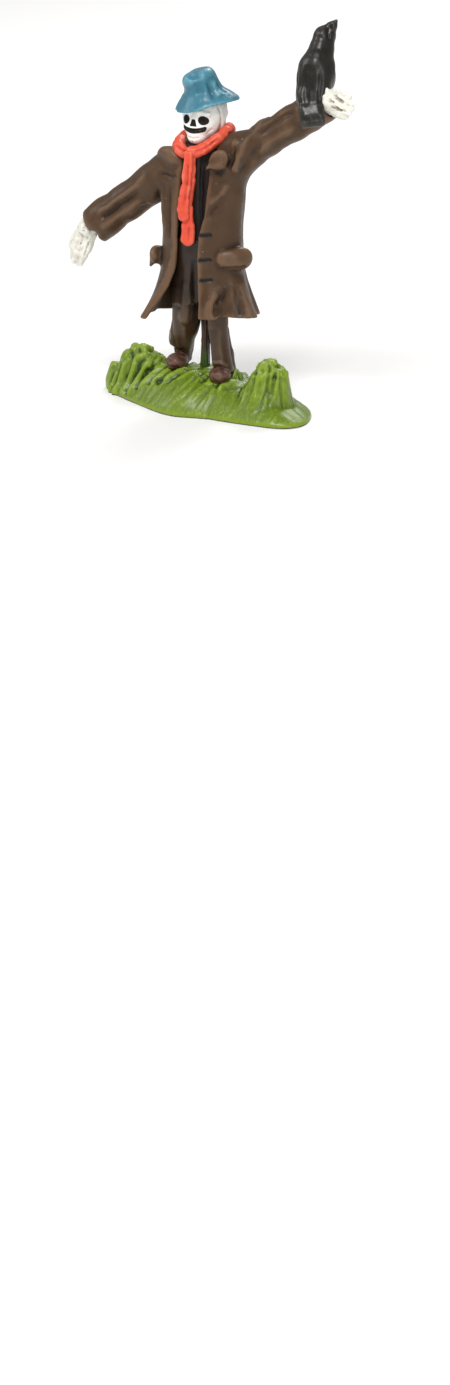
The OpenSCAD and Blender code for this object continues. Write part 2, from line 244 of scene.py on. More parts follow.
def ripple(p, size, seed, waves=14, squeeze=(1, 1, 1)):
    """Smooth noise from -1 to 1 with features about `size` mm across."""
    rng = np.random.default_rng(seed)
    q = p * np.array(squeeze) * (2 * math.pi / size)
    total = np.zeros(len(p))
    for _ in range(waves):
        way = rng.normal(size=3)
        way *= rng.uniform(0.35, 1) / np.linalg.norm(way)
        total += np.sin(q @ way + rng.uniform(0, 2 * math.pi))
    return np.clip(total / math.sqrt(waves), -1.6, 1.6) / 1.6


def to_path(p, path):
    """Distance of each point from a smooth path, and how far along the path it is, from 0 to 1."""
    line = curve_through(path, 6 * len(path)) if len(path) > 2 else np.array(path, float)
    best, where = np.full(len(p), 1e9), np.zeros(len(p))
    for i, (a, b) in enumerate(zip(line, line[1:])):
        along = b - a
        t = np.clip((p - a) @ along / max(along @ along, 1e-9), 0, 1)
        away = np.linalg.norm(p - a - t[:, None] * along, axis=1)
        nearer = away < best
        best[nearer] = away[nearer]
        where[nearer] = (i + t[nearer]) / (len(line) - 1)
    return best, where


def fold(p, path, width, height, taper=0.25):
    """How far a fold along a path lifts each point: up for a ridge, down for a crease."""
    away, where = to_path(p, path)
    ends = np.clip(np.minimum(where, 1 - where) / taper, 0, 1) if taper else 1
    return height * np.exp(-((away / width) ** 2)) * (ends * (2 - ends) if taper else 1)


class Skin:
    def __init__(self, clay, smooth=4):
        self.verts, self.quads = clay.skin()
        self.links = neighbours(len(self.verts), self.quads)
        self.ease(smooth)

    def ease(self, times):
        self.verts = smoothed(self.verts, self.links, len(self.verts), times)
        self.normals = normals_of(self.verts, self.quads)

    def lift(self, amount):
        """Moves the surface out by an amount in mm at each vertex."""
        self.verts = self.verts + self.normals * amount[:, None]
        self.normals = normals_of(self.verts, self.quads)

    def folds(self, paths, among=None):
        """Ridges (or grooves, with a height below 0) along paths that are drawn onto the surface."""
        pool = self.verts if among is None else self.verts[among]
        amount = np.zeros(len(self.verts))
        for path, width, height in paths:
            drawn = curve_through(np.array(path, float), 4 * len(path))
            close = pool[((pool > drawn.min(0) - 3) & (pool < drawn.max(0) + 3)).all(1)]
            drawn = np.array([close[((close - spot) ** 2).sum(1).argmin()] for spot in drawn])
            amount += fold(self.verts, drawn, width, height)
        self.lift(amount)

    def relief(self, size):
        """How far each vertex stands above (or below) the surface smoothed over `size` rounds."""
        near = smoothed(self.verts, self.links, len(self.verts), 3, 0.6)
        even = smoothed(near, self.links, len(self.verts), size, 0.7)
        return ((near - even) * self.normals).sum(1)


def make_piece(name, skin, material, nodes, keep=None, masks=None, relief_size=40, relief_scale=0.12):
    """A Blender object from a skin, or from those of its quads that `keep` picks, closed where it is cut."""
    attributes = {"relief": np.clip(skin.relief(relief_size) / relief_scale, -1, 1)}
    attributes.update(masks or {})
    verts, quads, normals = skin.verts, skin.quads, skin.normals
    faces, caps = quads, []
    if keep is not None:
        faces = quads[keep]
        used = np.unique(faces)
        renumber = np.full(len(verts), -1)
        renumber[used] = np.arange(len(used))
        verts, normals, faces = verts[used], normals[used], renumber[faces]
        attributes = {k: v[used] for k, v in attributes.items()}
        verts, normals, caps, attributes = close_holes(verts, normals, faces, attributes)
    mesh = bpy.data.meshes.new(name)
    mesh.from_pydata((verts * MM).tolist(), [], faces.tolist() + caps)
    mesh.polygons.foreach_set("use_smooth", [True] * len(faces) + [False] * len(caps))
    for key, value in attributes.items():
        mesh.attributes.new(key, "FLOAT", "POINT").data.foreach_set("value", value.astype(np.float32))
    corner = np.zeros(len(mesh.loops), dtype=np.int32)
    mesh.loops.foreach_get("vertex_index", corner)
    split = normals[corner].copy()
    split[faces.size:] = 0
    mesh.normals_split_custom_set(split.tolist())
    mesh.materials.append(material)
    piece = bpy.data.objects.new(name, mesh)
    bpy.context.scene.collection.objects.link(piece)
    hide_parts(*nodes)
    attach(piece, "root")
    return piece


def close_holes(verts, normals, faces, attributes):
    """Fills each open edge loop with triangles to its middle."""
    a, b = faces.ravel(), np.roll(faces, -1, axis=1).ravel()
    edges = set(zip(a.tolist(), b.tolist()))
    after = {j: i for i, j in edges if (j, i) not in edges}
    caps, middles = [], []
    while after:
        start = next(iter(after))
        loop = [start]
        at = after.pop(start)
        while at != start and at in after:
            loop.append(at)
            at = after.pop(at)
        if len(loop) < 3:
            continue
        hub = len(verts) + len(middles)
        middles.append(loop)
        caps += [[loop[k], loop[(k + 1) % len(loop)], hub] for k in range(len(loop))]
    for loop in middles:
        verts = np.vstack([verts, verts[loop].mean(0)])
        normals = np.vstack([normals, [0, 0, 1]])
        attributes = {k: np.append(v, v[loop].mean()) for k, v in attributes.items()}
    return verts, normals, caps, attributes


# ---------------- paint


class Paint:
    """A node material for brushed paint, built on with painted shade in creases and a painted highlight on
    ridges.
    """

    def __init__(self, name, rough=0.4, coat=0):
        self.material = bpy.data.materials.new(name)
        self.material.use_nodes = True
        self.tree = self.material.node_tree
        self.tree.nodes.clear()
        out = self.node("ShaderNodeOutputMaterial")
        self.shader = self.node("ShaderNodeBsdfPrincipled")
        self.shader.inputs["Coat Weight"].default_value = coat
        self.shader.inputs["Specular IOR Level"].default_value = 0.28
        self.shader.inputs["Coat Roughness"].default_value = 0.25
        self.shader.inputs["Roughness"].default_value = rough
        self.link(self.shader.outputs[0], out.inputs["Surface"])
        self.place = self.node("ShaderNodeTexCoord").outputs["Object"]

    def node(self, kind, **inputs):
        made = self.tree.nodes.new(kind)
        for key, value in inputs.items():
            setattr(made, key, value)
        return made

    def link(self, a, b):
        self.tree.links.new(a, b)

    def mapped(self, stretch=(1, 1, 1), turn=(0, 0, 0)):
        m = self.node("ShaderNodeMapping")
        m.inputs["Scale"].default_value = stretch
        m.inputs["Rotation"].default_value = [math.radians(t) for t in turn]
        self.link(self.place, m.inputs["Vector"])
        return m.outputs[0]

    def noise(self, size_mm, detail=3, stretch=(1, 1, 1), turn=(0, 0, 0), rough=0.55):
        n = self.node("ShaderNodeTexNoise")
        n.inputs["Scale"].default_value = 1 / (size_mm * MM)
        n.inputs["Detail"].default_value = detail
        n.inputs["Roughness"].default_value = rough
        self.link(self.mapped(stretch, turn), n.inputs["Vector"])
        return n.outputs["Fac"]

    def attribute(self, name):
        return self.node("ShaderNodeAttribute", attribute_name=name).outputs["Fac"]

    def ramp(self, value, low, high, a=0, b=1):
        r = self.node("ShaderNodeMapRange", interpolation_type="SMOOTHSTEP")
        for key, v in (("From Min", low), ("From Max", high), ("To Min", a), ("To Max", b)):
            r.inputs[key].default_value = v
        self.link(value, r.inputs["Value"])
        return r.outputs[0]

    def maths(self, operation, a, b):
        m = self.node("ShaderNodeMath", operation=operation)
        for i, v in enumerate((a, b)):
            if isinstance(v, (int, float)):
                m.inputs[i].default_value = v
            else:
                self.link(v, m.inputs[i])
        return m.outputs[0]

    def mix(self, share, a, b):
        m = self.node("ShaderNodeMix", data_type="RGBA")
        for key, v in ((0, share), (6, a), (7, b)):
            if isinstance(v, (int, float)):
                m.inputs[key].default_value = v
            elif isinstance(v, tuple):
                m.inputs[key].default_value = (*v, 1)
            else:
                self.link(v, m.inputs[key])
        return m.outputs[2]

    def colour(self, value):
        self.link(value, self.shader.inputs["Base Color"])

    def over(self, share, colour):
        """Lays a colour over the colour so far, by a share from 0 to 1."""
        was = self.shader.inputs["Base Color"].links[0].from_socket
        self.colour(self.mix(share, was, colour))

    def roughness(self, value):
        self.link(value, self.shader.inputs["Roughness"])

    def bump(self, height, depth_mm):
        b = self.node("ShaderNodeBump")
        b.inputs["Distance"].default_value = depth_mm * MM
        self.link(height, b.inputs["Height"])
        self.link(b.outputs[0], self.shader.inputs["Normal"])


def painted(name, shade, base, highlight, rough=0.38, coat=0, speck=None, specks=0, uneven=0.5):
    """Brushed paint, with painted shade in creases and a painted highlight on ridges. speck is the colour of
    stray dots, and specks how many more of them there are.
    """
    p = Paint(name, rough, coat)
    relief = p.attribute("relief")
    cloud = p.noise(3.2, 4)
    brush = p.noise(BRUSH_MM, 3, (1, 1, 0.25))
    # Painted shade and highlight: the relief darkens creases towards the shade colour and lightens ridges
    # towards the highlight colour; the cloud and brush noise add the paint's own uneven tone.
    shading_and_tone = p.maths("ADD", relief, p.maths("MULTIPLY", p.maths("SUBTRACT", cloud, 0.5), uneven * 2))
    shading_and_tone = p.maths("ADD", shading_and_tone, p.maths("MULTIPLY", p.maths("SUBTRACT", brush, 0.5), uneven))
    colour = p.mix(p.ramp(shading_and_tone, -0.75, 0), shade, base)
    colour = p.mix(p.ramp(shading_and_tone, 0.1, 1.1), colour, highlight)
    if speck:
        dots = p.ramp(p.noise(0.55, 2), 0.7 - specks, 0.74 - specks)
        colour = p.mix(dots, colour, speck)
    p.colour(colour)
    p.roughness(p.ramp(p.maths("ADD", p.noise(1.6, 3), p.maths("MULTIPLY", brush, 0.4)), 0.35, 1,
                       rough - 0.1, rough + 0.16))
    p.bump(p.maths("ADD", brush, p.maths("MULTIPLY", p.noise(0.25, 2), 0.35)), 0.05)
    return p

# ---------------- colours

COAT = painted("coat_paint", (0.019, 0.008, 0.003), (0.06, 0.029, 0.0112), (0.135, 0.075, 0.039),
               rough=0.42, coat=0.08, speck=(0.32, 0.27, 0.22), specks=-0.035, uneven=0.28)
TROUSER = painted("trouser_paint", (0.014, 0.0062, 0.0025), (0.05, 0.0245, 0.01), (0.11, 0.063, 0.034),
                  rough=0.38, coat=0.25, uneven=0.3)
SHIRT = painted("shirt_paint", (0.003, 0.002, 0.0015), (0.0075, 0.0045, 0.003), (0.016, 0.009, 0.006),
                rough=0.5)
BOOT = painted("boot_paint", (0.018, 0.007, 0.004), (0.056, 0.022, 0.013), (0.13, 0.062, 0.04), rough=0.4,
               coat=0.2, uneven=0.35)
HAT = painted("hat_paint", (0.014, 0.085, 0.12), (0.04, 0.17, 0.235), (0.11, 0.31, 0.39),
              rough=0.37, coat=0.25, speck=(0.02, 0.05, 0.06), specks=-0.02, uneven=0.35)
SCARF = painted("scarf_paint", (0.36, 0.026, 0.012), (0.68, 0.07, 0.032), (0.8, 0.17, 0.1), rough=0.42,
                coat=0.15, uneven=0.35)
STRAW = painted("straw_paint", (0.4, 0.36, 0.28), (0.74, 0.72, 0.64), (0.9, 0.89, 0.84), rough=0.5,
                speck=(0.2, 0.13, 0.08), specks=0.01, uneven=0.3)
CROW = painted("crow_paint", (0.0035, 0.0028, 0.002), (0.01, 0.0082, 0.0056), (0.036, 0.032, 0.025),
               rough=0.34, coat=0.25, uneven=0.3)


IN_SHADE = (0.01, 0.005, 0.003)  # inside the coat


def bone_paint():
    """Off-white paint with painted grey shade in the creases, grey brush lines, and black in the sockets,
    nose and mouth.
    """
    p = Paint("bone_paint", 0.5)
    relief = p.attribute("relief")
    strokes = p.noise(0.5, 4, (1, 1, 4), (0, 12, 0), 0.65)
    # Painted shade: grey in the creases, off-white elsewhere.
    colour = p.mix(p.ramp(relief, -0.9, 0), (0.42, 0.39, 0.34), (0.84, 0.83, 0.79))
    scratched = p.maths("MULTIPLY", p.ramp(strokes, 0.52, 0.68), p.attribute("behind"))
    colour = p.mix(scratched, colour, (0.27, 0.26, 0.25))
    colour = p.mix(p.ramp(p.noise(0.45, 2), 0.7, 0.74), colour, (0.25, 0.17, 0.11))
    colour = p.mix(p.ramp(p.attribute("black"), 0.44, 0.56), colour, (0.005, 0.004, 0.003))
    teeth = p.maths("MULTIPLY", p.attribute("mouth"), p.ramp(p.noise(0.28, 2), 0.6, 0.66))
    colour = p.mix(teeth, colour, (0.16, 0.12, 0.07))
    p.colour(colour)
    p.roughness(p.ramp(p.maths("ADD", p.noise(1.2, 3), p.attribute("black")), 0.3, 1.4, 0.36, 0.7))
    p.bump(p.maths("ADD", strokes, p.noise(0.3, 3)), 0.04)
    return p


BONE = bone_paint()


def wooden():
    """The pole: brown plastic with a wood grain, stained green where the grass paint reached it."""
    p = Paint("pole_paint", 0.4, 0.15)
    grain = p.noise(0.5, 4, (1, 1, 0.08))
    colour = p.mix(p.ramp(grain, 0.35, 0.7), (0.02, 0.01, 0.005), (0.085, 0.046, 0.025))
    colour = p.mix(p.attribute("grass"), colour, (0.045, 0.085, 0.008))
    p.colour(colour)
    p.roughness(p.ramp(grain, 0.3, 0.8, 0.32, 0.52))
    p.bump(grain, 0.08)
    return p


POLE = wooden()


def grass_paint():
    """Green paint: painted shade deep in the grooves, a painted yellow-green highlight on the blades, bare
    plastic along the bottom edge.
    """
    p = Paint("ground_paint", 0.4, 0.25)
    relief = p.attribute("relief")
    blades = p.noise(0.42, 3, (1, 1, 0.22), (0, 14, 0))
    cloud = p.noise(4.5, 3)
    shading_and_tone = p.maths("ADD", relief, p.maths("MULTIPLY", p.maths("SUBTRACT", blades, 0.5), 1.5))
    shading_and_tone = p.maths("ADD", shading_and_tone, p.maths("MULTIPLY", p.maths("SUBTRACT", cloud, 0.5), 0.5))
    # Painted shade in the grooves and a painted highlight on the blades, mixed with the paint's own uneven
    # tone.
    colour = p.mix(p.ramp(shading_and_tone, -1, -0.15), (0.02, 0.05, 0.002), (0.112, 0.178, 0.007))
    colour = p.mix(p.ramp(shading_and_tone, -0.1, 0.75), colour, (0.195, 0.285, 0.018))
    # Painted highlight: pale flecks on the raised blades.
    blade_highlight = p.maths("MULTIPLY", p.ramp(blades, 0.6, 0.68), p.ramp(relief, -0.2, 0.5))
    colour = p.mix(p.maths("MULTIPLY", blade_highlight, 0.55), colour, (0.38, 0.47, 0.09))
    edge = p.maths("ADD", p.attribute("rim"), p.maths("MULTIPLY", p.noise(1.2, 3), 0.5))
    colour = p.mix(p.ramp(edge, 0.82, 0.98), colour, (0.05, 0.026, 0.012))
    p.colour(colour)
    p.roughness(p.ramp(p.maths("ADD", cloud, blades), 0.7, 1.3, 0.34, 0.52))
    p.bump(blades, 0.07)
    return p


GRASS = grass_paint()

# ---------------- ground

GROUND_MID = np.array([2.5, -1.5])
OUTLINE = [
    (-20.2, -0.9), (-17.6, -3.8), (-12.8, -6.7), (-7.8, -9.2), (-3.4, -11.3), (0.4, -12.2), (3.6, -11.5),
    (6.8, -10.7), (10.2, -10.8), (15, -10.6), (19.4, -10.2), (22, -8.9), (23.2, -6), (22.2, -1.8),
    (20, 2), (16, 4.8), (11.2, 6.8), (6, 8.2), (0.4, 8.6), (-5.4, 7.8), (-10.6, 6.2), (-15.4, 4.2),
    (-18.8, 1.8),
]
CREST = [(-20, 3.4), (-17, 4.6), (-12, 6), (-6, 6.4), (2, 6.3), (6, 5.9), (9, 5), (13, 4.8), (18, 4.9),
         (25, 4.4)]
EDGE = 0.55  # height of the rim
TUFTS = [  # x, y, top, reach, roundness of the tip, how steep the +X side is
    (15.2, -3.9, 10.1, 5.2, 0.26, 1.2),
    (17, -3.6, 9, 3.4, 0.34, 1.3),
    (-13.7, -1.2, 9, 3.4, 0.1, 1),
    (-11.6, -1.3, 9.1, 3.8, 0.1, 1),
    (-15.4, -0.9, 7.6, 2.6, 0.15, 1),
    (-9, -1.5, 7.9, 3.4, 0.12, 1),
    (-18.2, -0.7, 4.9, 2.2, 0.3, 1),
    (7, -0.9, 6.9, 1.4, 0.2, 1),
]


def bounded(distance, low, high):
    return distance, np.array(low, float), np.array(high, float)


def outline_table():
    closed = np.array(OUTLINE + OUTLINE[:3])
    smooth = curve_through(closed, 260) - GROUND_MID
    angle = np.arctan2(smooth[:, 1], smooth[:, 0])
    order = np.argsort(angle)
    return angle[order], np.hypot(smooth[:, 0], smooth[:, 1])[order]


RIM_ANGLE, RIM_RADIUS = outline_table()


def rim_share(x, y):
    """0 in the middle of the ground and 1 at its rim."""
    dx, dy = x - GROUND_MID[0], y - GROUND_MID[1]
    radius = np.interp(np.arctan2(dy, dx), RIM_ANGLE, RIM_RADIUS, period=2 * math.pi)
    return np.hypot(dx, dy) / radius


def turf_height(x, y):
    share = np.clip(rim_share(x, y), 0, 1)
    crest = np.interp(x, [c[0] for c in CREST], [c[1] for c in CREST])
    z = EDGE + (crest - EDGE) * (1 - share**2.6) ** 0.85
    for cx, cy, top, reach, blunt, steep in TUFTS:
        dx, dy = x - cx, y - cy
        dx = np.where(dx > 0, dx * steep, dx * 0.86)
        r = np.hypot(dx, dy) * (1 + 0.1 * np.cos(3 * np.arctan2(dy, dx) + cx))
        t = np.clip((reach - r) / (reach * (1 - blunt)), 0, 1)
        z = np.maximum(z, z + (top - z) * t * t * (2.2 - 1.2 * t))
    return z


def on_turf(points):
    return [(x, y, float(turf_height(np.float64(x), np.float64(y)))) for x, y in points]


def leaves():
    """Long blades lying down the slopes: (path, width, height) for folds."""
    rng = np.random.default_rng(17)
    found = []
    for k in range(11):  # front, leaning towards -X on the way down
        x = -17 + 2.5 * k + rng.uniform(-0.5, 0.5)
        lean = 2.4 if x < 2 else 1
        path = on_turf([(x, -2.6), (x - lean * 0.5, -4.8), (x - lean, -6.9)])
        tall = 0.62 if x < 0 else 0.3
        found += [(path, 0.75, tall), ([(a - 1, b - 0.1, c) for a, b, c in path], 0.42, -tall)]
    for k in range(13):  # back
        x = -15 + 1.75 * k + rng.uniform(-0.3, 0.3)
        path = on_turf([(x + 1.6, 0.9), (x + 0.3, 3.2), (x - 1.4, 5.8)])
        tall = 0.3 if x < 3 else 0.16
        found += [(path, 0.55, tall), ([(a + 0.85, b + 0.1, c) for a, b, c in path], 0.36, -tall)]
    return found


def ground():
    clay = Clay([-22, -14, -0.6], [27, 10.6, 11.2], 0.2)

    def turf(x, y, z):
        share = rim_share(x, y)
        bank = (share - 1) * 12 + np.maximum(0.35 - z, 0) * 0.5
        return np.maximum(np.maximum((z - turf_height(x, y)) * 0.6, bank), -z)

    clay.add(bounded(turf, clay.low + 1.2, [25.6, 9.4, 10.4]))
    skin = Skin(clay, 3)
    skin.folds(leaves())
    p, n = skin.verts, skin.normals
    share = rim_share(p[:, 0], p[:, 1])
    lean = np.clip((9 - p[:, 0]) / 6, 0, 1) * 0.45
    side = np.clip(n[:, 0] ** 2 / np.maximum(n[:, 0] ** 2 + n[:, 1] ** 2, 1e-6) * 1.6 - 0.5, 0, 1)
    front = np.stack([p[:, 0] - lean * p[:, 2], p[:, 1], p[:, 2]], 1)
    cuts = ripple(front, 1.7, 5, 16, (1, 0.16, 0.16)) * (1 - side) + ripple(p, 1.7, 6, 16,
            (0.16, 1, 0.16)) * side
    rough = np.clip((0.93 - share) / 0.35, 0, 1) * np.clip((p[:, 2] - 0.5) / 1.5, 0, 1)
    steep = np.clip(1.5 - 1.3 * n[:, 2], 0.35, 1)
    hollow = np.clip(np.hypot((p[:, 0] - 12) / 5, (p[:, 1] - 3.6) / 2.6) - 0.5, 0.12, 1)
    skin.lift((0.22 - 0.62 * np.exp(-((cuts / 0.17) ** 2))) * rough * steep * hollow)
    fine = ripple(front, 0.8, 7, 14, (1, 0.2, 0.2)) * (1 - side) + ripple(p, 0.8, 8, 14, (0.2, 1, 0.2)) * side
    band = np.clip((p[:, 2] - 0.5) / 0.8, 0, 1)
    skin.lift((0.07 + 0.07 * rough) * fine * band)
    tips = np.clip((p[:, 2] - 6.8) / 1.4, 0, 1) * (np.hypot(p[:, 0], p[:, 1] + 1.5) > 8)
    skin.lift(0.3 * tips * ripple(skin.verts, 1, 9))
    pits = [((-13.9, -2.6, 7.2), 0.6), ((-5.6, -6.7, 4.2), 0.7),
            ((-18.3, -2.2, 4), 0.4), ((2.6, -5.4, 5.6), 0.6), ((-2.4, 3.4, 5.4), 0.8),
            ((-16.8, 1.4, 4.2), 0.5)]
    for place, size in pits:
        away = np.linalg.norm(skin.verts - place, axis=1)
        skin.lift(-0.8 * np.exp(-((away / size) ** 2)))
    skin.ease(1)
    skin.verts[:, 2] = np.where(skin.verts[:, 2] < 0.14, 0, skin.verts[:, 2])
    rim = np.clip(1 - skin.verts[:, 2] / 0.5, 0, 1)
    make_piece("ground_base", skin, GRASS.material, ["ground_base"], masks={"rim": rim},
               relief_size=24, relief_scale=0.16)


ground()


def pole():
    clay = Clay([-1.6, -1.6, 4.5], [1.6, 1.6, 24], 0.1)
    clay.chain([(-0.05, 0, 5), (0.05, 0.05, 11), (-0.05, 0, 17), (0, 0, 23)], [0.86, 0.74, 0.78, 0.72], 0.3)
    skin = Skin(clay)
    angle = np.arctan2(skin.verts[:, 1], skin.verts[:, 0])
    skin.lift(0.07 * np.cos(5 * angle + 0.35 * skin.verts[:, 2]) + 0.05 * ripple(skin.verts, 2.5, 3))
    grass = np.clip(1 - (skin.verts[:, 2] - 8.2) / 1.8, 0, 1)
    make_piece("pole", skin, POLE.material, ["pole"], masks={"grass": grass})


pole()

# ---------------- legs


def boot(name, heel, toe, cuff):
    """A boot with a rounded, scuffed toe under the trouser cuff."""
    heel, toe = np.array(heel, float), np.array(toe, float)
    middle = (heel + toe) / 2
    clay = Clay(np.minimum(heel, toe) - 3.2, np.maximum(heel, toe) + [3.2, 3.2, 4], 0.12)
    clay.chain([heel, middle, toe], [1.2, 1.35, 1.2], 0.5)
    clay.add(limb(heel + [0, 0, 2.4], heel, 1, 1.1), 0.4)
    way = (toe - heel) / np.linalg.norm(toe - heel)
    turn = math.degrees(math.atan2(way[1], way[0]))
    clay.add(egg(toe - way * 0.5 - [0, 0, 0.15], (2.1, 1.9, 1.2), (0, 0, turn)), 0.8)
    skin = Skin(clay)
    sole = [tuple(toe + way * 1.2 + [way[1] * s, -way[0] * s, -0.65]) for s in (-1.6, 0, 1.6)]
    skin.folds([(sole, 0.25, -0.12), (cuff, 0.35, -0.25)])
    skin.lift(0.13 * ripple(skin.verts, 1.5, 11) + 0.04 * ripple(skin.verts, 0.6, 12))
    make_piece(name, skin, BOOT.material, [name])


boot("boot_right", (-4.7, 0.2, 7.1), (-4.2, -3.3, 7.45),
     [(-6.2, -1.4, 8), (-4.8, -2, 8.8), (-3, -1.8, 8)])
boot("boot_left", (4.5, -2, 7), (6, -5.3, 6.6), [(4, -4.2, 7.6), (5.2, -4.6, 8), (7, -3.9, 7.4)])


def trousers():
    clay = Clay([-9.5, -8.5, 5.2], [10.5, 5.4, 31], 0.17)
    right = [[6.4, -5.1, 0.9, 1.45, 2], [8.4, -4.9, 0.7, 1.45, 2], [10.8, -4.3, -0.5, 2.15, 2.4],
             [12.8, -3.5, -1.3, 2.5, 2.7], [15.4, -2.9, -1.7, 2.5, 2.9], [21, -2.7, -2, 2.3, 2.8]]
    left_front = [[6.6, 5.2, -2.4, 1.75, 1.9], [8.6, 4.9, -2.5, 1.7, 1.8], [11.5, 4.6, -2.6, 1.65, 1.75],
                  [14.6, 4.3, -2.8, 1.75, 1.8], [21, 4, -2.8, 2, 2.2]]
    left_back = [[5.4, 3.7, 0.9, 1.75, 1.8], [8.6, 3.5, 0.5, 1.6, 1.8], [11.5, 3.1, 0, 1.5, 1.8],
                 [14.6, 2.9, -0.4, 1.6, 1.9], [21, 2.9, -0.8, 2, 2.2]]
    clay.add(upright(right))
    clay.add(upright(left_front))
    clay.add(upright(left_back), 1)
    clay.chain([(3.7, 0.4, 13), (4.1, 0.7, 9), (4.4, 0.8, 6.2)], [0.9, 1.1, 1.25], 0.6)
    clay.chain([(-6, 1.6, 6.4), (-5.4, 0.9, 9)], [1.15, 1], 0.6)
    clay.add(upright([[18.6, 0.4, -1.9, 5.6, 3.4], [22, 0.5, -1.9, 6.2, 3.6], [30.2, 0.4, -1.7, 6.6, 3.6]]),
             0.8)
    clay.chain([(-0.1, -4.2, 28), (-0.6, -4.5, 22), (-1.7, -4.2, 15.8)], [0.9, 1.05, 1.1], 0.6)
    clay.chain([(2.6, -4.4, 27), (3.4, -4.2, 20), (4, -4, 15)], [0.7, 0.8, 0.9], 0.6)
    clay.cut(limb((1, -5.6, 26), (0.9, -4.6, 14), 0.75), 0.6)
    skin = Skin(clay, 3)
    skin.folds([
        ([(-6.2, -1.2, 13.4), (-6.5, -1.3, 11.2), (-5.4, -1.6, 9.6)], 0.7, 0.4),
        ([(-4.6, -3.4, 15.5), (-4.6, -3, 12.5), (-4.9, -1.6, 9.4)], 0.5, -0.3),
        ([(-2.2, -3.9, 15.5), (-2.4, -3.3, 12), (-3.4, -1.6, 9.2)], 0.5, 0.3),
        ([(-6.4, -0.6, 9.6), (-5, -1.4, 9.1), (-3.8, -0.9, 9.3)], 0.35, -0.3),
        ([(6.3, -1.6, 15), (6.5, -1.4, 11), (6.9, -1, 7.2)], 0.35, -0.55),
        ([(3, -4.2, 15.5), (3.4, -4.1, 11), (3.8, -4, 7.4)], 0.6, 0.2),
        ([(5.2, -4.3, 15.5), (5.4, -4.2, 11.5), (5.9, -4.1, 8.2)], 0.5, 0.22),
        ([(3.4, -4.3, 8.1), (5.2, -4.6, 8.6), (6.9, -3.6, 7.9)], 0.4, 0.4),
        ([(2.6, 1.4, 15), (3, 1.9, 11), (3.5, 2.5, 6.4)], 0.6, 0.22),
        ([(5, 1.6, 14), (5.2, 1.9, 10), (5.5, 2.3, 6.6)], 0.5, -0.2),
        ([(-5.4, 0.9, 14), (-6.2, 1.8, 10.5), (-5.8, 2.7, 7.2)], 0.5, 0.25),
        ([(-2.9, 1, 14), (-3.4, 1.8, 10.5), (-4.2, 2.7, 7.2)], 0.5, 0.25),
    ])
    skin.lift(0.09 * ripple(skin.verts, 3.2, 21, squeeze=(1, 1, 0.4)))
    skin.ease(1)
    # Painted shade: the trousers darken upward, where they go into the coat.
    TROUSER.over(TROUSER.maths("MULTIPLY", TROUSER.attribute("coat_shade"), 0.8), IN_SHADE)
    coat_shade = np.clip((skin.verts[:, 2] - 16.5) / 4, 0, 1)
    make_piece("trousers", skin, TROUSER.material, ["trousers"], masks={"coat_shade": coat_shade},
               relief_size=40, relief_scale=0.2)


trousers()


def torso():
    clay = Clay([-9, -8, 28], [9, 5, 47.5], 0.2)
    clay.add(upright([[29, 0.5, -1.5, 6.7, 3.3], [35, 0.4, -1.5, 6.7, 3.3], [41, 0.2, -0.9, 6.6, 3.4],
                      [44.5, 0, -0.4, 5.4, 3.4], [46.8, -0.1, -0.2, 3.6, 3.1]]))
    clay.add(limb((0.8, -3.8, 45), (0.9, -4.2, 29), 0.8), 0.6)
    skin = Skin(clay)
    skin.folds([([(2.2, -4.6, 44), (1.9, -4.8, 38), (2.2, -4.6, 32)], 0.35, -0.3),
                ([(0.2, -4.8, 43), (0, -5, 36), (0.3, -4.8, 31)], 0.4, 0.25)])
    make_piece("torso", skin, SHIRT.material, ["torso"])


torso()

# ---------------- coat and sleeves

HEM = 15.2
COAT_ROWS = [
    [HEM - 1, 1, -1.7, 8.9, 5.8], [18, 0.9, -1.8, 8.4, 5.5], [22, 0.6, -1.7, 8, 5.2],
    [27, 0.4, -1.7, 7.7, 4.9], [33, 0.3, -1.6, 7.6, 4.8], [38, 0.3, -1.2, 7.9, 4.6],
    [41.5, 0.3, -0.8, 8, 4.4], [44, 0.5, -0.4, 7.4, 4.1], [46.2, 0.7, -0.2, 6.2, 3.7],
    [48.2, 1.2, 0.2, 4.6, 3],
]
COAT_WALL = 0.85
SKIRT_TOP = 27.5  # the folds of the skirt begin here
CORNERS = [  # direction in degrees, spread, how far out in mm
    (-140, 32, 5), (-104, 14, 1.6), (-68, 12, 1.7), (-49, 9, 2.3), (-36, 8, -0.7), (-10, 19, 4.4),
    (36, 20, 3.4), (64, 12, -0.4), (90, 20, 1.2), (140, 22, 2.4), (178, 20, 1.4),
]
HEM_LINE = [  # direction in degrees and height
    (-180, 15.4), (-150, 15.6), (-130, 15.9), (-106, 16.6), (-68, 16.8), (-49, 17), (-36, 17.3),
    (-11, 17.2), (20, 16.5),
    (60, 15.3), (90, 15), (130, 15.2), (180, 15.8),
]
SHOULDER_L, CUFF_L = np.array([6.4, -0.4, 43.6]), np.array([23.4, -0.4, 55.2])
SHOULDER_R, CUFF_R = np.array([-6.2, -0.8, 41.4]), np.array([-20.8, -2.9, 30])


def skirt(angle, z):
    """How far the skirt's folds stand out."""
    drop = np.clip((SKIRT_TOP - z) / (SKIRT_TOP - HEM), 0, 1.1)
    out = 0
    for way, spread, far in CORNERS:
        off = np.degrees(np.arctan2(np.sin(angle - math.radians(way)), np.cos(angle - math.radians(way))))
        out = out + far * np.exp(-((off / spread) ** 2))
    return out * drop**1.6 - 0.35 * drop


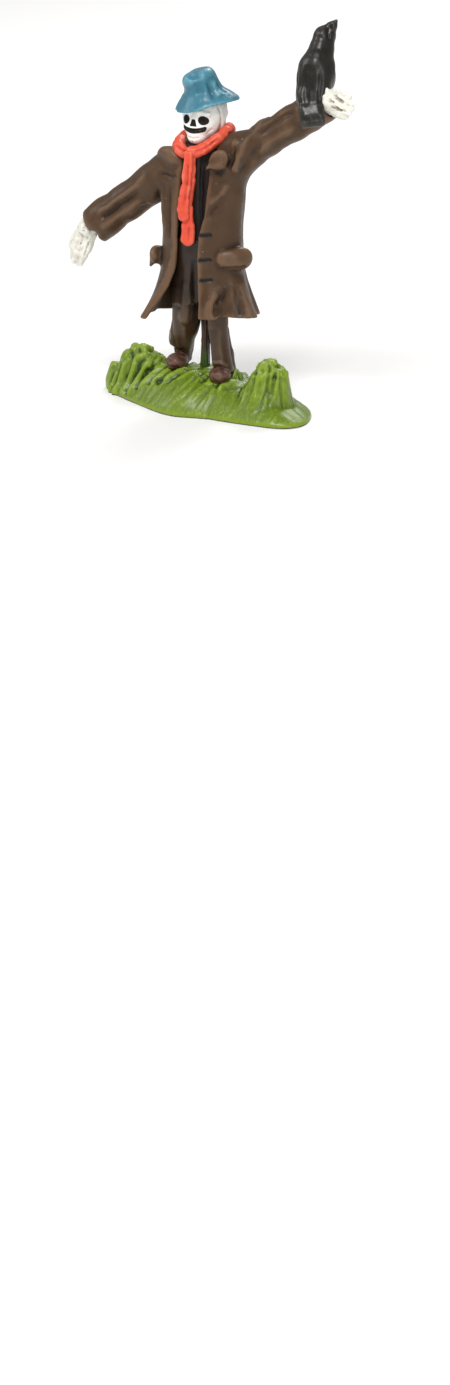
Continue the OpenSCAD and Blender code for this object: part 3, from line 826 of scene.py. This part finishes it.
def front_edges(z):
    """X of the two edges of the open front at a height."""
    heights = [14, 16, 17.6, 19.6, 22, 25, 28, 31, 35, 40, 44, 48]
    left = np.interp(z, heights, [3.3, 3.1, 3, 2.9, 2.5, 2.2, 2, 2.1, 3, 3.3, 3.5, 4.6])
    right = np.interp(z, heights, [-7.2, -6.9, -6.2, -4.7, -3.4, -2.6, -2.4, -2.4, -2.2, -2.1, -2.2, -2.6])
    return right, left


def slit(x, y, z):
    right, left = front_edges(z)
    return np.maximum(np.maximum(right - x, x - left), y + 2.2)


def under_hem(x, y, z):
    ways, heights = zip(*HEM_LINE)
    line = np.interp(np.degrees(np.arctan2(y + 1.8, x - 0.8)), ways, heights)
    return (z - line) * 0.9


def open_cuff(clay, shoulder, cuff, beyond):
    """Hollows the end of a sleeve and cuts it off square, `beyond` mm past the cuff's centre."""
    way = (cuff - shoulder) / np.linalg.norm(cuff - shoulder)

    def past(x, y, z):
        return beyond - ((x - cuff[0]) * way[0] + (y - cuff[1]) * way[1] + (z - cuff[2]) * way[2])

    clay.cut(limb(cuff - way * 1.6, cuff + way * 6, 2.35, 2.5), 0.3)
    clay.cut((past, cuff - 7, cuff + 7), 0.35)


def coat():
    clay = Clay([-25.5, -12, 13.6], [28.5, 8, 60.2], 0.21)
    clay.add(upright(COAT_ROWS, skirt))
    # raised arm
    clay.chain([(5.8, -0.4, 43.6), (9, -0.3, 46.2), (12.2, -0.2, 48.4),
                (17.5, 0, 51.9), (20.5, 0, 53.7), (23.4, -0.2, 55.4)],
               [3.8, 3.15, 2.95, 3.05, 2.9, 3], 1)
    clay.add(egg((6.6, -0.2, 47), (3.2, 2.6, 2.2), (0, -8, 0)), 1.2)
    clay.add(egg((11.9, -0.4, 50.9), (1.3, 1.7, 1.1), (0, -30, 0)), 0.7)
    # hanging arm
    clay.chain([(-6.2, -0.6, 41.7), (-10.2, -0.7, 38.5), (-15.2, -1.5, 34.7), (-18.8, -2.5, 31.8),
                (-21.2, -3, 29.8)],
               [3.7, 3.35, 3.15, 3.35, 3.45], 1)
    open_cuff(clay, SHOULDER_L, CUFF_L, 1.4)
    open_cuff(clay, SHOULDER_R, CUFF_R, 0.2)
    clay.cut(limb((-19.2, -8, 28.9), (-20.4, -3, 28.8), 0.8), 0.45)
    clay.cut(limb((-21.2, -8, 27.4), (-19.6, -3, 28.4), 1), 0.45)
    # front opening, then the hollow inside, then the hem
    clay.cut(bounded(slit, [-11, -13, 13], [6, -2, 49]), 0.5)
    inner = [[z, x, y, half - COAT_WALL, deep - COAT_WALL] for z, x, y, half, deep in COAT_ROWS[:-1]]
    inner[0][0] = 12  # the hollow starts well below the hem
    clay.cut(upright(inner, skirt), 0.3)
    clay.cut(bounded(under_hem, [-14, -12, 12], [16, 8, 18]), 0.4)
    # collar and lapels
    clay.add(egg((-5.4, -3.2, 44.2), (2.9, 1.2, 1.9), (12, 6, -24)), 0.7)
    clay.add(limb((-7.6, -1.8, 44.6), (-4.2, -3.4, 45.8), 0.8, 0.6), 0.6)
    clay.add(egg((5.3, -4.5, 44.6), (1.7, 0.95, 2.4), (14, 30, 14)), 0.6)
    clay.add(limb((3.7, -5.5, 43.4), (5.4, -4.9, 44.2), 0.42, 0.9), 0.5)
    clay.cut(limb((3.6, -6.6, 42.1), (6.8, -5.6, 42.4), 0.5, 0.35), 0.4)
    clay.cut(limb((6.7, -5.6, 47.2), (7.5, -5, 42.8), 0.3, 0.4), 0.5)
    clay.add(limb((8, -3, 47.6), (8.3, -3.7, 43.6), 0.75, 0.5), 0.7)
    # pocket flaps: the +X one lumpy, the -X one standing out like an ear
    clay.add(egg((7.2, -4.3, 27.4), (2.1, 1.3, 1.8), (0, 12, 42)), 0.5)
    clay.add(egg((8.8, -2.8, 27.4), (2.2, 1.5, 2.1), (0, 0, 58)), 1.2)
    clay.cut(bounded(lambda x, y, z: 6.05 - (0.62 * (x - 3) - 0.74 * (y + 2) + 0.25 * (z - 28)),
                     [5, -8, 25], [12, 0, 31]), 0.35)
    clay.add(egg((-7.7, -3.2, 26.3), (0.9, 2, 1.8), (0, -24, -16)), 0.6)
    clay.add(limb((-8.2, -3.6, 25.8), (-8.9, -3.9, 24.3), 1, 0.4), 0.6)
    clay.cut(egg((-7, -5.2, 25), (0.65, 1, 0.8)), 0.4)
    skin = Skin(clay, 3)
    p, n = skin.verts, skin.normals
    outer = (np.abs(p[:, 0]) > 9.5) | ((p[:, 0] - 0.5) * n[:, 0] + (p[:, 1] + 1.6) * n[:, 1] > 0.2)
    skin.folds(coat_folds(), outer)
    p = skin.verts
    body = np.clip((p[:, 2] - 16) / 6, 0, 1)
    waves = 0.2 * ripple(p, 6.5, 31, squeeze=(1, 1, 0.45)) + 0.05 * ripple(p, 2.2, 32)
    skin.lift(waves * (0.4 + 0.6 * body))
    skin.lift(-0.22 * buttonholes(skin.verts))
    skin.ease(1)
    p = skin.verts
    slits = np.clip(buttonholes(p) * 1.6, 0, 1)
    inside = upright(inner, skirt)[0](p[:, 0], p[:, 1], p[:, 2])
    coat_shade = np.clip(0.5 - inside * 2, 0, 1) * (p[:, 2] < 47)
    centre = p[skin.quads].mean(1)
    along_l = (centre - [9.6, -0.4, 46.2]) @ (CUFF_L - SHOULDER_L)
    along_r = (centre - [-9.4, -0.6, 39]) @ (CUFF_R - SHOULDER_R)
    arm_l = (along_l > 0) & (centre[:, 0] > 8.5)
    arm_r = (along_r > 0) & (centre[:, 0] < -8.2) & (centre[:, 2] > 26)
    # Painted shade on the inside of the coat.
    COAT.over(COAT.maths("MULTIPLY", COAT.attribute("coat_shade"), 0.85), IN_SHADE)
    COAT.over(COAT.attribute("slits"), (0.003, 0.002, 0.002))
    masks = {"slits": slits, "coat_shade": coat_shade}
    for name, keep in (("coat", ~arm_l & ~arm_r), ("sleeve_left", arm_l), ("sleeve_right", arm_r)):
        make_piece(name, skin, COAT.material, [name], keep, masks, 60, 0.3)


def buttonholes(p):
    """1 on the three buttonholes beside the front edge, and 0 away from them."""
    total = np.zeros(len(p))
    for x, z, half in ((3.5, 31.6, 0.85), (3.5, 27.2, 0.9), (3.9, 23.7, 0.85)):
        away = np.hypot(np.maximum(np.abs(p[:, 0] - x) - half, 0), p[:, 2] - z - 0.12 * (p[:, 0] - x))
        total += np.exp(-((away / 0.33) ** 4)) * (p[:, 1] < -5)
    return total


def coat_folds():
    back = [
        ([(8.6, 2, 44), (5.5, 3.4, 39.5), (0.8, 3.6, 34.6), (-3, 3.4, 36), (-7.4, 2.2, 38.6)], 0.9,
         0.6),
        ([(7.4, 2.6, 45.5), (3.4, 3.8, 41), (-0.8, 3.8, 37.8), (-4.4, 3.3, 40), (-7.6, 1.8, 42.6)], 0.7,
         0.55),
        ([(5.2, 3.2, 46.4), (2, 3.9, 43), (-0.9, 3.9, 41.2), (-4, 3.4, 43), (-6.8, 1.8, 44.4)], 0.6,
         0.5),
        ([(8.2, 2.2, 42), (4.5, 3.2, 37.5), (0.6, 3.4, 32.8)], 0.8, -0.35),
        ([(6, 3, 43.4), (2.6, 3.4, 39.4), (-0.6, 3.6, 36.4), (-4, 3.2, 38.4)], 0.6, -0.4),
        ([(8.2, 1.4, 41.5), (8, 1.6, 33), (7.6, 1.9, 24), (9.4, 2.9, 16.5)], 0.8, 0.35),
        ([(6.6, 3, 24), (7.2, 3.8, 20), (7.6, 4.6, 16)], 0.7, -0.35),
        ([(1, 3.4, 27), (1.6, 4.2, 20.5), (2.2, 4.8, 15.5)], 1, 0.4),
        ([(-3.8, 3.2, 26), (-4.6, 3.7, 20), (-5.2, 4, 15.5)], 0.9, 0.4),
        ([(-6.6, 1.8, 31), (-7.4, 2.4, 24), (-7.8, 3.2, 16)], 0.8, 0.35),
        ([(-8.9, 1.6, 43), (-9.3, 2.4, 39.5), (-8, 2, 34.5)], 0.5, 0.4),
    ]
    shoulder = [
        ([(9.6 + 1.6 * k, -0.4 + 0.2 * k, 49.6 + 1 * k), (9 + 1.4 * k, 2.3, 47.4 + 0.8 * k),
          (8.4 + 1.1 * k, 3.2, 44 + 0.7 * k)], 0.5, 0.5 if k % 2 == 0 else -0.45)
        for k in range(4)
    ]
    front = [
        ([(-7, -3.9, 41.2), (-4.6, -5.2, 41.2), (-3, -5.8, 41.6)], 0.45, -0.4),
        ([(-7.2, -3.6, 40), (-6.4, -4.6, 36), (-5.6, -5.4, 31)], 0.7, 0.4),
        ([(-4.6, -5.4, 40), (-4.4, -5.8, 35), (-4.2, -6, 30)], 0.45, -0.4),
        ([(-8.4, -2, 40), (-8, -2.8, 34), (-7.4, -3.2, 29.5)], 0.6, -0.35),
        ([(-3.2, -6, 29), (-4, -6.8, 24), (-6.4, -8.2, 19.6), (-8.8, -8.4, 17)], 0.6, 0.35),
        ([(3.4, -5.8, 42.6), (5.2, -5.4, 42), (6.8, -4.9, 42.5)], 0.4, -0.6),
        ([(10.6, -2.4, 49.4), (9, -3.5, 46), (7.6, -4.2, 42)], 0.6, 0.5),
        ([(8.2, -3.6, 47.4), (7.2, -4.4, 43.2)], 0.45, -0.5),
        ([(13, -2.6, 49), (11, -3.3, 45.6), (9.2, -3.6, 41.6)], 0.7, -0.35),
        ([(6.6, -5, 38.8), (5, -5.7, 36.6), (3.9, -6.1, 34.4)], 0.6, -0.35),
        ([(7.6, -4.6, 40.8), (5.6, -5.6, 38.2), (4.2, -6, 37)], 0.6, 0.4),
        ([(6.5, -5.6, 22.6), (5.2, -6.8, 19.6), (4.2, -7.9, 17.2)], 0.9, 0.4),
        ([(7.2, -5.4, 23), (6.5, -6.8, 19.8), (6, -7.6, 17.4)], 0.6, -0.45),
        ([(9, -4, 23), (9.6, -5, 20), (10.2, -5.8, 17.4)], 0.8, -0.35),
        ([(9, -3, 23.4), (10.8, -3.6, 20), (12.4, -4, 17.6)], 0.9, 0.35),
        ([(6.4, -6, 25.6), (8.6, -5.2, 25.4), (10.8, -3.2, 25.4)], 0.4, -0.5),
    ]
    sleeves = [
        ([(-9.5, -3.4, 40.2), (-15, -4.2, 35.6), (-20, -5.2, 32)], 0.6, 0.45),
        ([(-10.6, -3.9, 38), (-16, -4.6, 33.8), (-19.5, -5.4, 31)], 0.5, -0.45),
        ([(-10.4, -3.8, 36.2), (-14.5, -4.4, 33.2), (-18.4, -5.4, 30.4)], 0.6, 0.4),
        ([(-9.4, -2.8, 35.2), (-13.5, -3.2, 32)], 0.5, -0.3),
        ([(-10.6, 2.2, 39.6), (-15, 1.4, 36), (-20, 0.2, 32)], 0.7, 0.4),
        ([(-10, 2.6, 36.6), (-15.5, 1.5, 33)], 0.6, -0.35),
        ([(11.5, -2.9, 46.2), (16, -3, 49.6), (20, -3, 52)], 0.7, 0.4),
        ([(12, -2.4, 49.2), (15.5, -2.6, 52.3), (19.5, -2.6, 54.6)], 0.6, -0.4),
        ([(13, 2.9, 47.4), (16.5, 2.9, 50.4), (20, 2.9, 52.8)], 0.7, 0.35),
        ([(13, 2, 51.4), (14.4, 2.9, 48.4)], 0.5, 0.45),
        ([(15.6, 2.2, 52.6), (16.8, 2.9, 49.8)], 0.5, -0.35),
    ]
    return back + shoulder + front + sleeves


coat()

# ---------------- head


EYE_X, MOUTH = 1.66, 1.8  # half the distance between the eyes, and half the mouth


def head():
    clay = Clay([-5.6, -6.4, 45.4], [5.6, 5.8, 56.6], 0.11)
    clay.add(egg((-0.1, 0.2, 52.2), (3.95, 4.1, 3.9)))
    clay.add(egg((-0.1, -0.8, 50.2), (3.3, 3.4, 3)), 0.8)
    clay.add(egg((0, -2.7, 48.3), (1.75, 1.8, 1.45)), 0.7)
    clay.add(limb((-0.3, 0.2, 46.2), (-0.3, 0.4, 50), 2.6), 0.5)
    clay.add(limb((-3.1, 0.3, 50.2), (-3.1, -0.8, 52), 0.9, 0.9), 0.6)
    clay.add(limb((2.9, 0.3, 50.2), (2.9, -0.8, 52), 0.9, 0.9), 0.6)
    clay.add(egg((0, -3.3, 49.8), (2.3, 0.9, 1)), 0.5)
    for side in (-1, 1):
        clay.add(limb((side * 0.9, -3.8, 52.7), (side * 2.5, -3.1, 52.4), 0.36, 0.3), 0.5)
        clay.cut(egg((side * EYE_X, -4.05, 51.4), (0.7, 0.8, 0.74)), 0.22)
    clay.cut(egg((0, -4.5, 50.75), (0.42, 0.5, 0.62)), 0.15)
    clay.cut(limb((-MOUTH, -4.2, 49.5), (MOUTH, -4.2, 49.5), 0.26), 0.25)
    skin = Skin(clay)
    skin.folds([
        ([(2.9, -1.2, 54), (3.7, -0.8, 51), (3.3, -0.6, 48)], 0.3, -0.35),
        ([(-3.4, -1.2, 54), (-4, -0.8, 51), (-3.6, -0.6, 48)], 0.3, -0.35),
        ([(-1.4, -4.1, 48.3), (0, -4.5, 48.1), (1.4, -4.1, 48.3)], 0.25, -0.22),
        ([(2.2, -3.3, 49), (2.9, -2.2, 49.8)], 0.3, -0.2),
    ])
    back = np.clip(skin.verts[:, 1] / 2, 0, 1)
    brushed = 0.12 * ripple(skin.verts, 1.1, 41, squeeze=(0.35, 0.35, 1)) * back
    skin.lift(brushed + 0.03 * ripple(skin.verts, 1, 42))
    p = skin.verts
    x, z, front = p[:, 0], p[:, 2], p[:, 1] < -1.2
    black = np.zeros(len(p))
    for side in (-1, 1):
        away = np.sqrt(((x - side * EYE_X) / 0.86) ** 2 + ((z - 51.5 + 0.12 * side * x) / 0.8) ** 2)
        black = np.maximum(black, 1.5 - away)
    nose = np.maximum(np.abs(x) / 0.5 + (z - 50.9) * 0.6, np.abs(z - 50.85) / 0.62)
    black = np.maximum(black, 1.5 - nose)
    line = 49.45 + 0.09 * x * x
    away = np.hypot(np.maximum(np.abs(x) - 1.9, 0), (z - line) * 0.85)
    black = np.clip(np.maximum(black, 1.5 - away / 0.4), 0, 1) * front
    mouth = np.clip(1 - np.abs(z - line) / 0.4, 0, 1) * (np.abs(x) < 1.9) * front
    make_piece("head", skin, BONE.material, ["head"],
               masks={"black": black, "mouth": mouth, "behind": np.clip(0.15 + (p[:, 1] + 1) / 3, 0.08, 1)},
               relief_size=30, relief_scale=0.14)


head()


def hat():
    clay = Clay([-7.8, -7.4, 50.2], [7.8, 8, 61.6], 0.13)
    # height above the brim, half width across, half width front to back, shift across
    rows = [[0, 5.6, 5.6, 0], [0.6, 5.35, 5.2, -0.05], [1.5, 4.55, 4.4, -0.25], [2.6, 3.5, 3.7, -0.65],
            [4, 2.95, 3.45, -0.95], [5.2, 2.7, 3.4, -1.2], [6, 2.2, 2.95, -1.2], [6.6, 1.2, 1.8, -0.9]]
    table = curve_through(rows)
    mid, level, tilt = np.array([0.1, 0.4]), 53.45, (0.2, 0.08)
    across, behind = np.array([0.866, 0.5]), np.array([-0.5, 0.866])

    def place(p, q, up):
        """A point from how far across, how far behind and how high above the brim it is."""
        x, y = mid + across * p + behind * q
        return np.array([x, y, level + tilt[0] * (x - mid[0]) + tilt[1] * (y - mid[1]) + up])

    def bell(x, y, z):
        dx, dy = x - mid[0], y - mid[1]
        up = z - (level + tilt[0] * dx + tilt[1] * dy)
        p, q = dx * across[0] + dy * across[1], dx * behind[0] + dy * behind[1]
        a, b, shift = (np.interp(np.clip(up, 0, 6.6), table[:, 0], table[:, i]) for i in (1, 2, 3))
        p = p - shift
        angle = np.arctan2(q, p)
        brim = np.clip(1 - up / 1.6, 0, 1)
        k = np.sqrt((p / a) ** 2 + (q / b) ** 2) / (1 + brim * 0.035 * np.cos(3 * angle + 0.9))
        away = np.hypot(p, q) * (1 - 1 / np.maximum(k, 0.05)) * 0.8
        return np.maximum(np.maximum(away, up - 6.45), -(up + 0.25 * np.cos(3 * angle + 0.4)))

    clay.add((bell, np.array([-7.5, -7, 50.5]), np.array([7.5, 7.6, 61.4])), 0.2)
    # the lobe at the front left, the dish pressed into it, and the pinch beside it
    clay.add(egg(place(-2.6, -1.6, 4.9), (1.5, 1.6, 1.5)), 0.8)
    clay.cut(egg(place(-2.8, -4.3, 7.2), (2.6, 2.6, 2.3), (25, 20, 0)), 0.3)
    clay.cut(egg(place(-4.9, 0.4, 3.3), (1, 1.8, 0.9)), 0.6)
    clay.cut(egg(place(-1.4, -4.4, 3.6), (1.1, 1, 1.2)), 0.8)
    clay.cut(egg((-0.3, 0.2, 51.8), (4.7, 4.8, 3)), 0.4)
    skin = Skin(clay, 3)
    skin.folds([
        ([place(1.3, -2.6, 4.6), place(2, -3.4, 2.9), place(2.7, -3.9, 1.7)], 0.5, 0.3),
        ([place(2.1, -1.8, 4.6), place(2.9, -2.4, 2.9), place(3.7, -2.8, 1.8)], 0.35, -0.2),
        ([place(0.3, -3.4, 4.4), place(0.8, -3.8, 2.6), place(1.2, -4.6, 1.2)], 0.4, -0.3),
        ([place(-0.4, 3.2, 5.2), place(0, 3.7, 2.9), place(0.4, 4.8, 0.9)], 0.5, 0.35),
        ([place(-2.6, 2.6, 5), place(-2.8, 3, 2.9), place(-3.2, 3.9, 0.9)], 0.45, -0.3),
        ([place(-3.6, 1.4, 5), place(-3.9, 1.6, 2.9), place(-4.6, 2.2, 0.9)], 0.45, 0.3),
        ([place(1.8, 2.4, 5), place(2.6, 3, 2.9), place(3.6, 3.8, 0.9)], 0.45, -0.3),
    ])
    skin.lift(0.12 * ripple(skin.verts, 3, 51) + 0.03 * ripple(skin.verts, 0.9, 52))
    skin.ease(1)
    make_piece("hat", skin, HAT.material, ["hat"], relief_size=50, relief_scale=0.22)


hat()

# ---------------- scarf


def scarf_loop():
    clay = Clay([-8.2, -8.6, 43], [8.4, 7.2, 52], 0.13)
    turns = 28
    ring, radii = [], []
    for k in range(turns + 1):
        t = 2 * math.pi * k / turns
        c, s = math.cos(t), math.sin(t)
        ring.append((0.1 + 4.4 * c, -0.4 + 4.25 * s, 48 + 1.1 * c + 1.15 * s - 1.2 * s * s))
        radii.append(0.98 + 0.1 * math.sin(5 * t + 1) + 0.22 * max(0, -c) ** 2)
    clay.chain(ring, radii, 0.3)
    for k in range(2, 13):  # the band is taller than it is thick at the back
        x, y, z = ring[k]
        clay.add(egg((x, y, z - 0.1), (0.85, 0.85, 1.2)), 0.4)
    clay.add(egg((0.5, -5.2, 45.9), (1.25, 0.9, 1.05), (15, 0, 10)), 0.35)
    skin = Skin(clay)
    skin.folds([
        ([(-3.6, -4, 46.8), (-1.4, -5.4, 46.2), (0.2, -6, 45.8)], 0.3, -0.3),
        ([(4.6, -3, 48.4), (2.8, -4.6, 46.8), (1.2, -5.9, 45.9)], 0.3, -0.3),
        ([(-3.6, 3.7, 47.4), (0.2, 5.1, 48), (3.8, 3.6, 48.7)], 0.35, -0.3),
        ([(-3, 4.4, 46.8), (0.4, 5, 47.2), (4.2, 3.8, 48)], 0.35, 0.2),
        ([(-5.6, -1, 46.9), (-5.8, 1.6, 46.9)], 0.3, -0.3),
        ([(5.6, -1.6, 48.9), (5.8, 1.4, 49.2)], 0.3, -0.3),
    ])
    skin.lift(0.12 * ripple(skin.verts, 1.8, 61))
    make_piece("scarf_loop", skin, SCARF.material, ["scarf_loop"], relief_size=24,
               relief_scale=0.16)


def scarf_tail(name, path, widths, half_t, seed, folds):
    path = np.array(path, float)
    clay = Clay(path.min(0) - 2.2, path.max(0) + 2.2, 0.11)
    for k, (a, b) in enumerate(zip(path, path[1:])):
        clay.add(flat_bar(a, b, (widths[k] + widths[k + 1]) / 2, half_t, (1, 0.2, 0)), 0.35)
    clay.add(egg(path[-1], (widths[-1], half_t * 1.2, widths[-1] * 0.9)), 0.4)
    skin = Skin(clay)
    skin.folds(folds)
    skin.lift(0.1 * ripple(skin.verts, 1.9, seed))
    make_piece(name, skin, SCARF.material, [name], relief_size=24, relief_scale=0.16)


scarf_loop()
scarf_tail("scarf_tail_front",
           [(0.2, -6, 45.8), (0.4, -6.6, 43), (0.1, -6.8, 40),
            (-0.3, -6.9, 37.6), (-0.5, -6.9, 35.9), (-0.4, -6.8, 34.6)],
           [0.8, 0.85, 0.8, 0.95, 1.1, 0.95], 0.5, 62,
           [([(0.5, -7, 45), (0.5, -7.3, 41), (-0.2, -7.5, 36)], 0.25, -0.22),
            ([(-0.2, -7, 44.5), (-0.2, -7.3, 40)], 0.25, 0.18)])
scarf_tail("scarf_tail_back",
           [(0.5, -5.2, 45.2), (0.5, -5.5, 41), (-0.1, -5.9, 36), (0.1, -6.1, 33), (0.05, -6.2, 30.4)],
           [0.6, 0.6, 0.8, 1.2, 1.2], 0.5, 63,
           [([(0.5, -6.6, 33), (0.3, -6.7, 30)], 0.25, -0.2)])

# ---------------- hands


def hand(name, wrist, tip, across, out, seed, girth):
    """A glove stuffed with straw: a frilled wrist, a broad back and ragged fingers."""
    wrist, tip = np.array(wrist, float), np.array(tip, float)
    across, out = np.array(across, float), np.array(out, float)
    way = tip - wrist
    clay = Clay(np.minimum(wrist, tip) - 4, np.maximum(wrist, tip) + 4, 0.12)
    knuckle = wrist + way * 0.5
    clay.chain([wrist - way * 0.3, wrist + way * 0.05], [girth, girth * 0.85], 0.3)
    clay.add(flat_bar(wrist, knuckle, 2, 0.95, across), 0.6)
    rng = np.random.default_rng(seed)
    for side in (-1.5, -0.5, 0.5, 1.5):
        root = knuckle + across * side * 0.8 - way * 0.12
        spread = tip + across * side * 0.85 + out * rng.uniform(-0.4, 0.5)
        end = spread - way * (0.07 * abs(side) + rng.uniform(0, 0.06))
        middle = (root + end) / 2 + out * 0.35
        clay.chain([root, middle, end], [0.75, 0.72, 0.42], 0.3)
    thumb = wrist + way * 0.2 + across * 1.5
    clay.chain([thumb, thumb + way * 0.28 + across * 0.8, thumb + way * 0.5 + across * 0.7],
               [0.65, 0.58, 0.36], 0.3)
    side_way = np.cross(way, across) / np.linalg.norm(way)
    for k in range(9):
        t = 2 * math.pi * k / 9
        round_ = across * math.cos(t) + side_way * math.sin(t)
        end = wrist + round_ * rng.uniform(0.9, 1.1) * girth - way * rng.uniform(0, 0.08)
        clay.add(limb(wrist + round_ * 1.2 + way * 0.08, end, 0.75, 0.4), 0.4)
    skin = Skin(clay, 3)
    for k in range(14):  # strands of straw
        a = wrist + way * rng.uniform(0, 0.4) + across * rng.uniform(-1.8, 1.8)
        b = a + way * rng.uniform(0.3, 0.5) + across * rng.uniform(-0.6, 0.6)
        face = out * rng.choice([-1, 1])
        strand = [a + face, (a + b) / 2 + face * 1.1, b + face]
        skin.folds([(strand, 0.22, rng.choice([-0.3, 0.22]))])
    lumps = 0.1 * ripple(skin.verts, 1.2, seed, squeeze=(0.6, 1, 1))
    skin.lift(lumps + 0.04 * ripple(skin.verts, 0.6, seed + 1))
    make_piece(name, skin, STRAW.material, [name], relief_size=20, relief_scale=0.14)


hand("hand_left", (25, -0.8, 56.4), (31, -4, 55.6), (0.25, 0.25, 0.93), (0.3, -0.9, 0.2), 71, 2.1)
hand("hand_right", (-21.9, -3.4, 29.9), (-25.2, -2.8, 22.4), (-0.9, 0.1, 0.4), (0, -1, 0), 72, 1.5)

# ---------------- crow


def crow():
    clay = Clay([16, -8, 50.6], [28, 8, 71.4], 0.14)
    clay.add(egg((21.7, 0.4, 60.4), (3.35, 3.4, 4.7), (-14, 0, 0)))
    clay.chain([(21.6, 0.9, 62.2), (21.7, 2.2, 64.6), (21.8, 3, 66.6)], [2.8, 2, 1.75], 0.9)
    clay.add(egg((21.8, 3.2, 66.9), (1.75, 1.9, 1.7)), 0.7)
    clay.chain([(22.1, 3.3, 67.2), (22.9, 3.6, 68.5), (23.6, 3.9, 69.5)], [1.45, 0.9, 0.3], 0.4)
    # tail in front of the cuff
    clay.add(egg((21.9, -1.6, 57.6), (2.7, 2, 3.2), (-32, 0, 0)), 1.2)
    clay.add(flat_bar((21.8, -2.4, 57.4), (23.4, -4.3, 54.4), 1.9, 1, (0.9, 0.35, -0.1)), 1)
    clay.add(flat_bar((23, -3.9, 55.6), (23.9, -4.8, 53.2), 2.2, 0.75, (0.9, 0.35, -0.1)), 0.5)
    skin = Skin(clay, 3)
    skin.folds([
        ([(21.4, -1.6, 62.4), (21.6, -3.2, 59.6), (22.6, -4.6, 55.6)], 0.5, -0.2),
        ([(18.6, -1.9, 62.4), (19.2, -3, 58.6), (20.4, -4.2, 55.4)], 0.4, -0.16),
        ([(23.8, -1.6, 62.4), (24, -2.6, 58.8), (24.6, -3.8, 55.4)], 0.4, -0.16),
        ([(17.9, 1.6, 62.2), (18.2, 2.6, 59), (19.4, 2.4, 56.8)], 0.45, -0.3),
        ([(24.2, 1.6, 62.2), (24, 2.8, 59.2), (23, 2.8, 57.2)], 0.45, -0.3),
        ([(22.8, 2.2, 66.2), (22.7, 2.4, 67.6), (23.1, 3.2, 69)], 0.4, -0.3),
        ([(21.9, 1.5, 67), (22.4, 2, 67.9)], 0.3, 0.15),
    ])
    feathers = 0.1 * ripple(skin.verts, 2.2, 81, squeeze=(1, 0.5, 0.35))
    skin.lift(feathers + 0.03 * ripple(skin.verts, 0.8, 82, squeeze=(1, 1, 0.4)))
    skin.ease(1)
    make_piece("crow", skin, CROW.material, ["crow"], relief_size=50, relief_scale=0.22)


crow()

# ---------------- stage


MIDDLE = Vector((0, 0, 0.035))
VIEW = (30, 12.26)  # degrees round and up
AWAY, LENS, SHIFT = 0.595, 88.15, (0.0143, -0.35)
FLOOR_HALF = 3


def floor():
    mesh = bpy.data.meshes.new("floor")
    r = FLOOR_HALF
    mesh.from_pydata([(-r, -r, 0), (r, -r, 0), (r, r, 0), (-r, r, 0)], [], [(0, 1, 2, 3)])
    material = bpy.data.materials.new("floor_white")
    material.use_nodes = True
    shader = material.node_tree.nodes["Principled BSDF"]
    shader.inputs["Base Color"].default_value = (0.9, 0.895, 0.885, 1)
    shader.inputs["Roughness"].default_value = 0.9
    shader.inputs["Specular IOR Level"].default_value = 0.1
    mesh.materials.append(material)
    plane = bpy.data.objects.new("floor", mesh)
    bpy.context.scene.collection.objects.link(plane)


def lamp(name, place, size, power):
    light = bpy.data.lights.new(name, "AREA")
    light.energy, light.size = power, size
    lamp_object = bpy.data.objects.new(name, light)
    lamp_object.location = place
    way = MIDDLE - Vector(place)
    lamp_object.rotation_euler = way.to_track_quat("-Z", "Y").to_euler()
    bpy.context.scene.collection.objects.link(lamp_object)


def sky(strength):
    world = bpy.data.worlds.new("studio")
    world.use_nodes = True
    background = world.node_tree.nodes["Background"]
    background.inputs["Color"].default_value = (1, 1, 1, 1)
    background.inputs["Strength"].default_value = strength
    bpy.context.scene.world = world


floor()
sky(0.36)
lamp("key", (0.06, -0.36, 0.55), 0.2, 2.6)
lamp("fill", (0.5, -0.4, 0.3), 0.28, 1)
lamp("side", (-0.5, -0.2, 0.4), 0.25, 0.9)
lamp("rim", (-0.1, 0.5, 0.45), 0.3, 1.9)
bpy.context.scene.view_settings.view_transform = "Standard"


def camera():
    azimuth, elevation = math.radians(VIEW[0]), math.radians(VIEW[1])
    back = Vector((math.sin(azimuth) * math.cos(elevation), -math.cos(azimuth) * math.cos(elevation),
                   math.sin(elevation)))
    data = bpy.data.cameras.new("camera")
    data.sensor_fit, data.sensor_width, data.lens = "AUTO", 36, LENS
    data.shift_x, data.shift_y = SHIFT
    data.clip_start, data.clip_end = 0.01, 20
    seen = bpy.data.objects.new("camera", data)
    seen.location = MIDDLE + back * AWAY
    seen.rotation_euler = (-back).to_track_quat("-Z", "Y").to_euler()
    bpy.context.scene.collection.objects.link(seen)
    bpy.context.scene.camera = seen


camera()
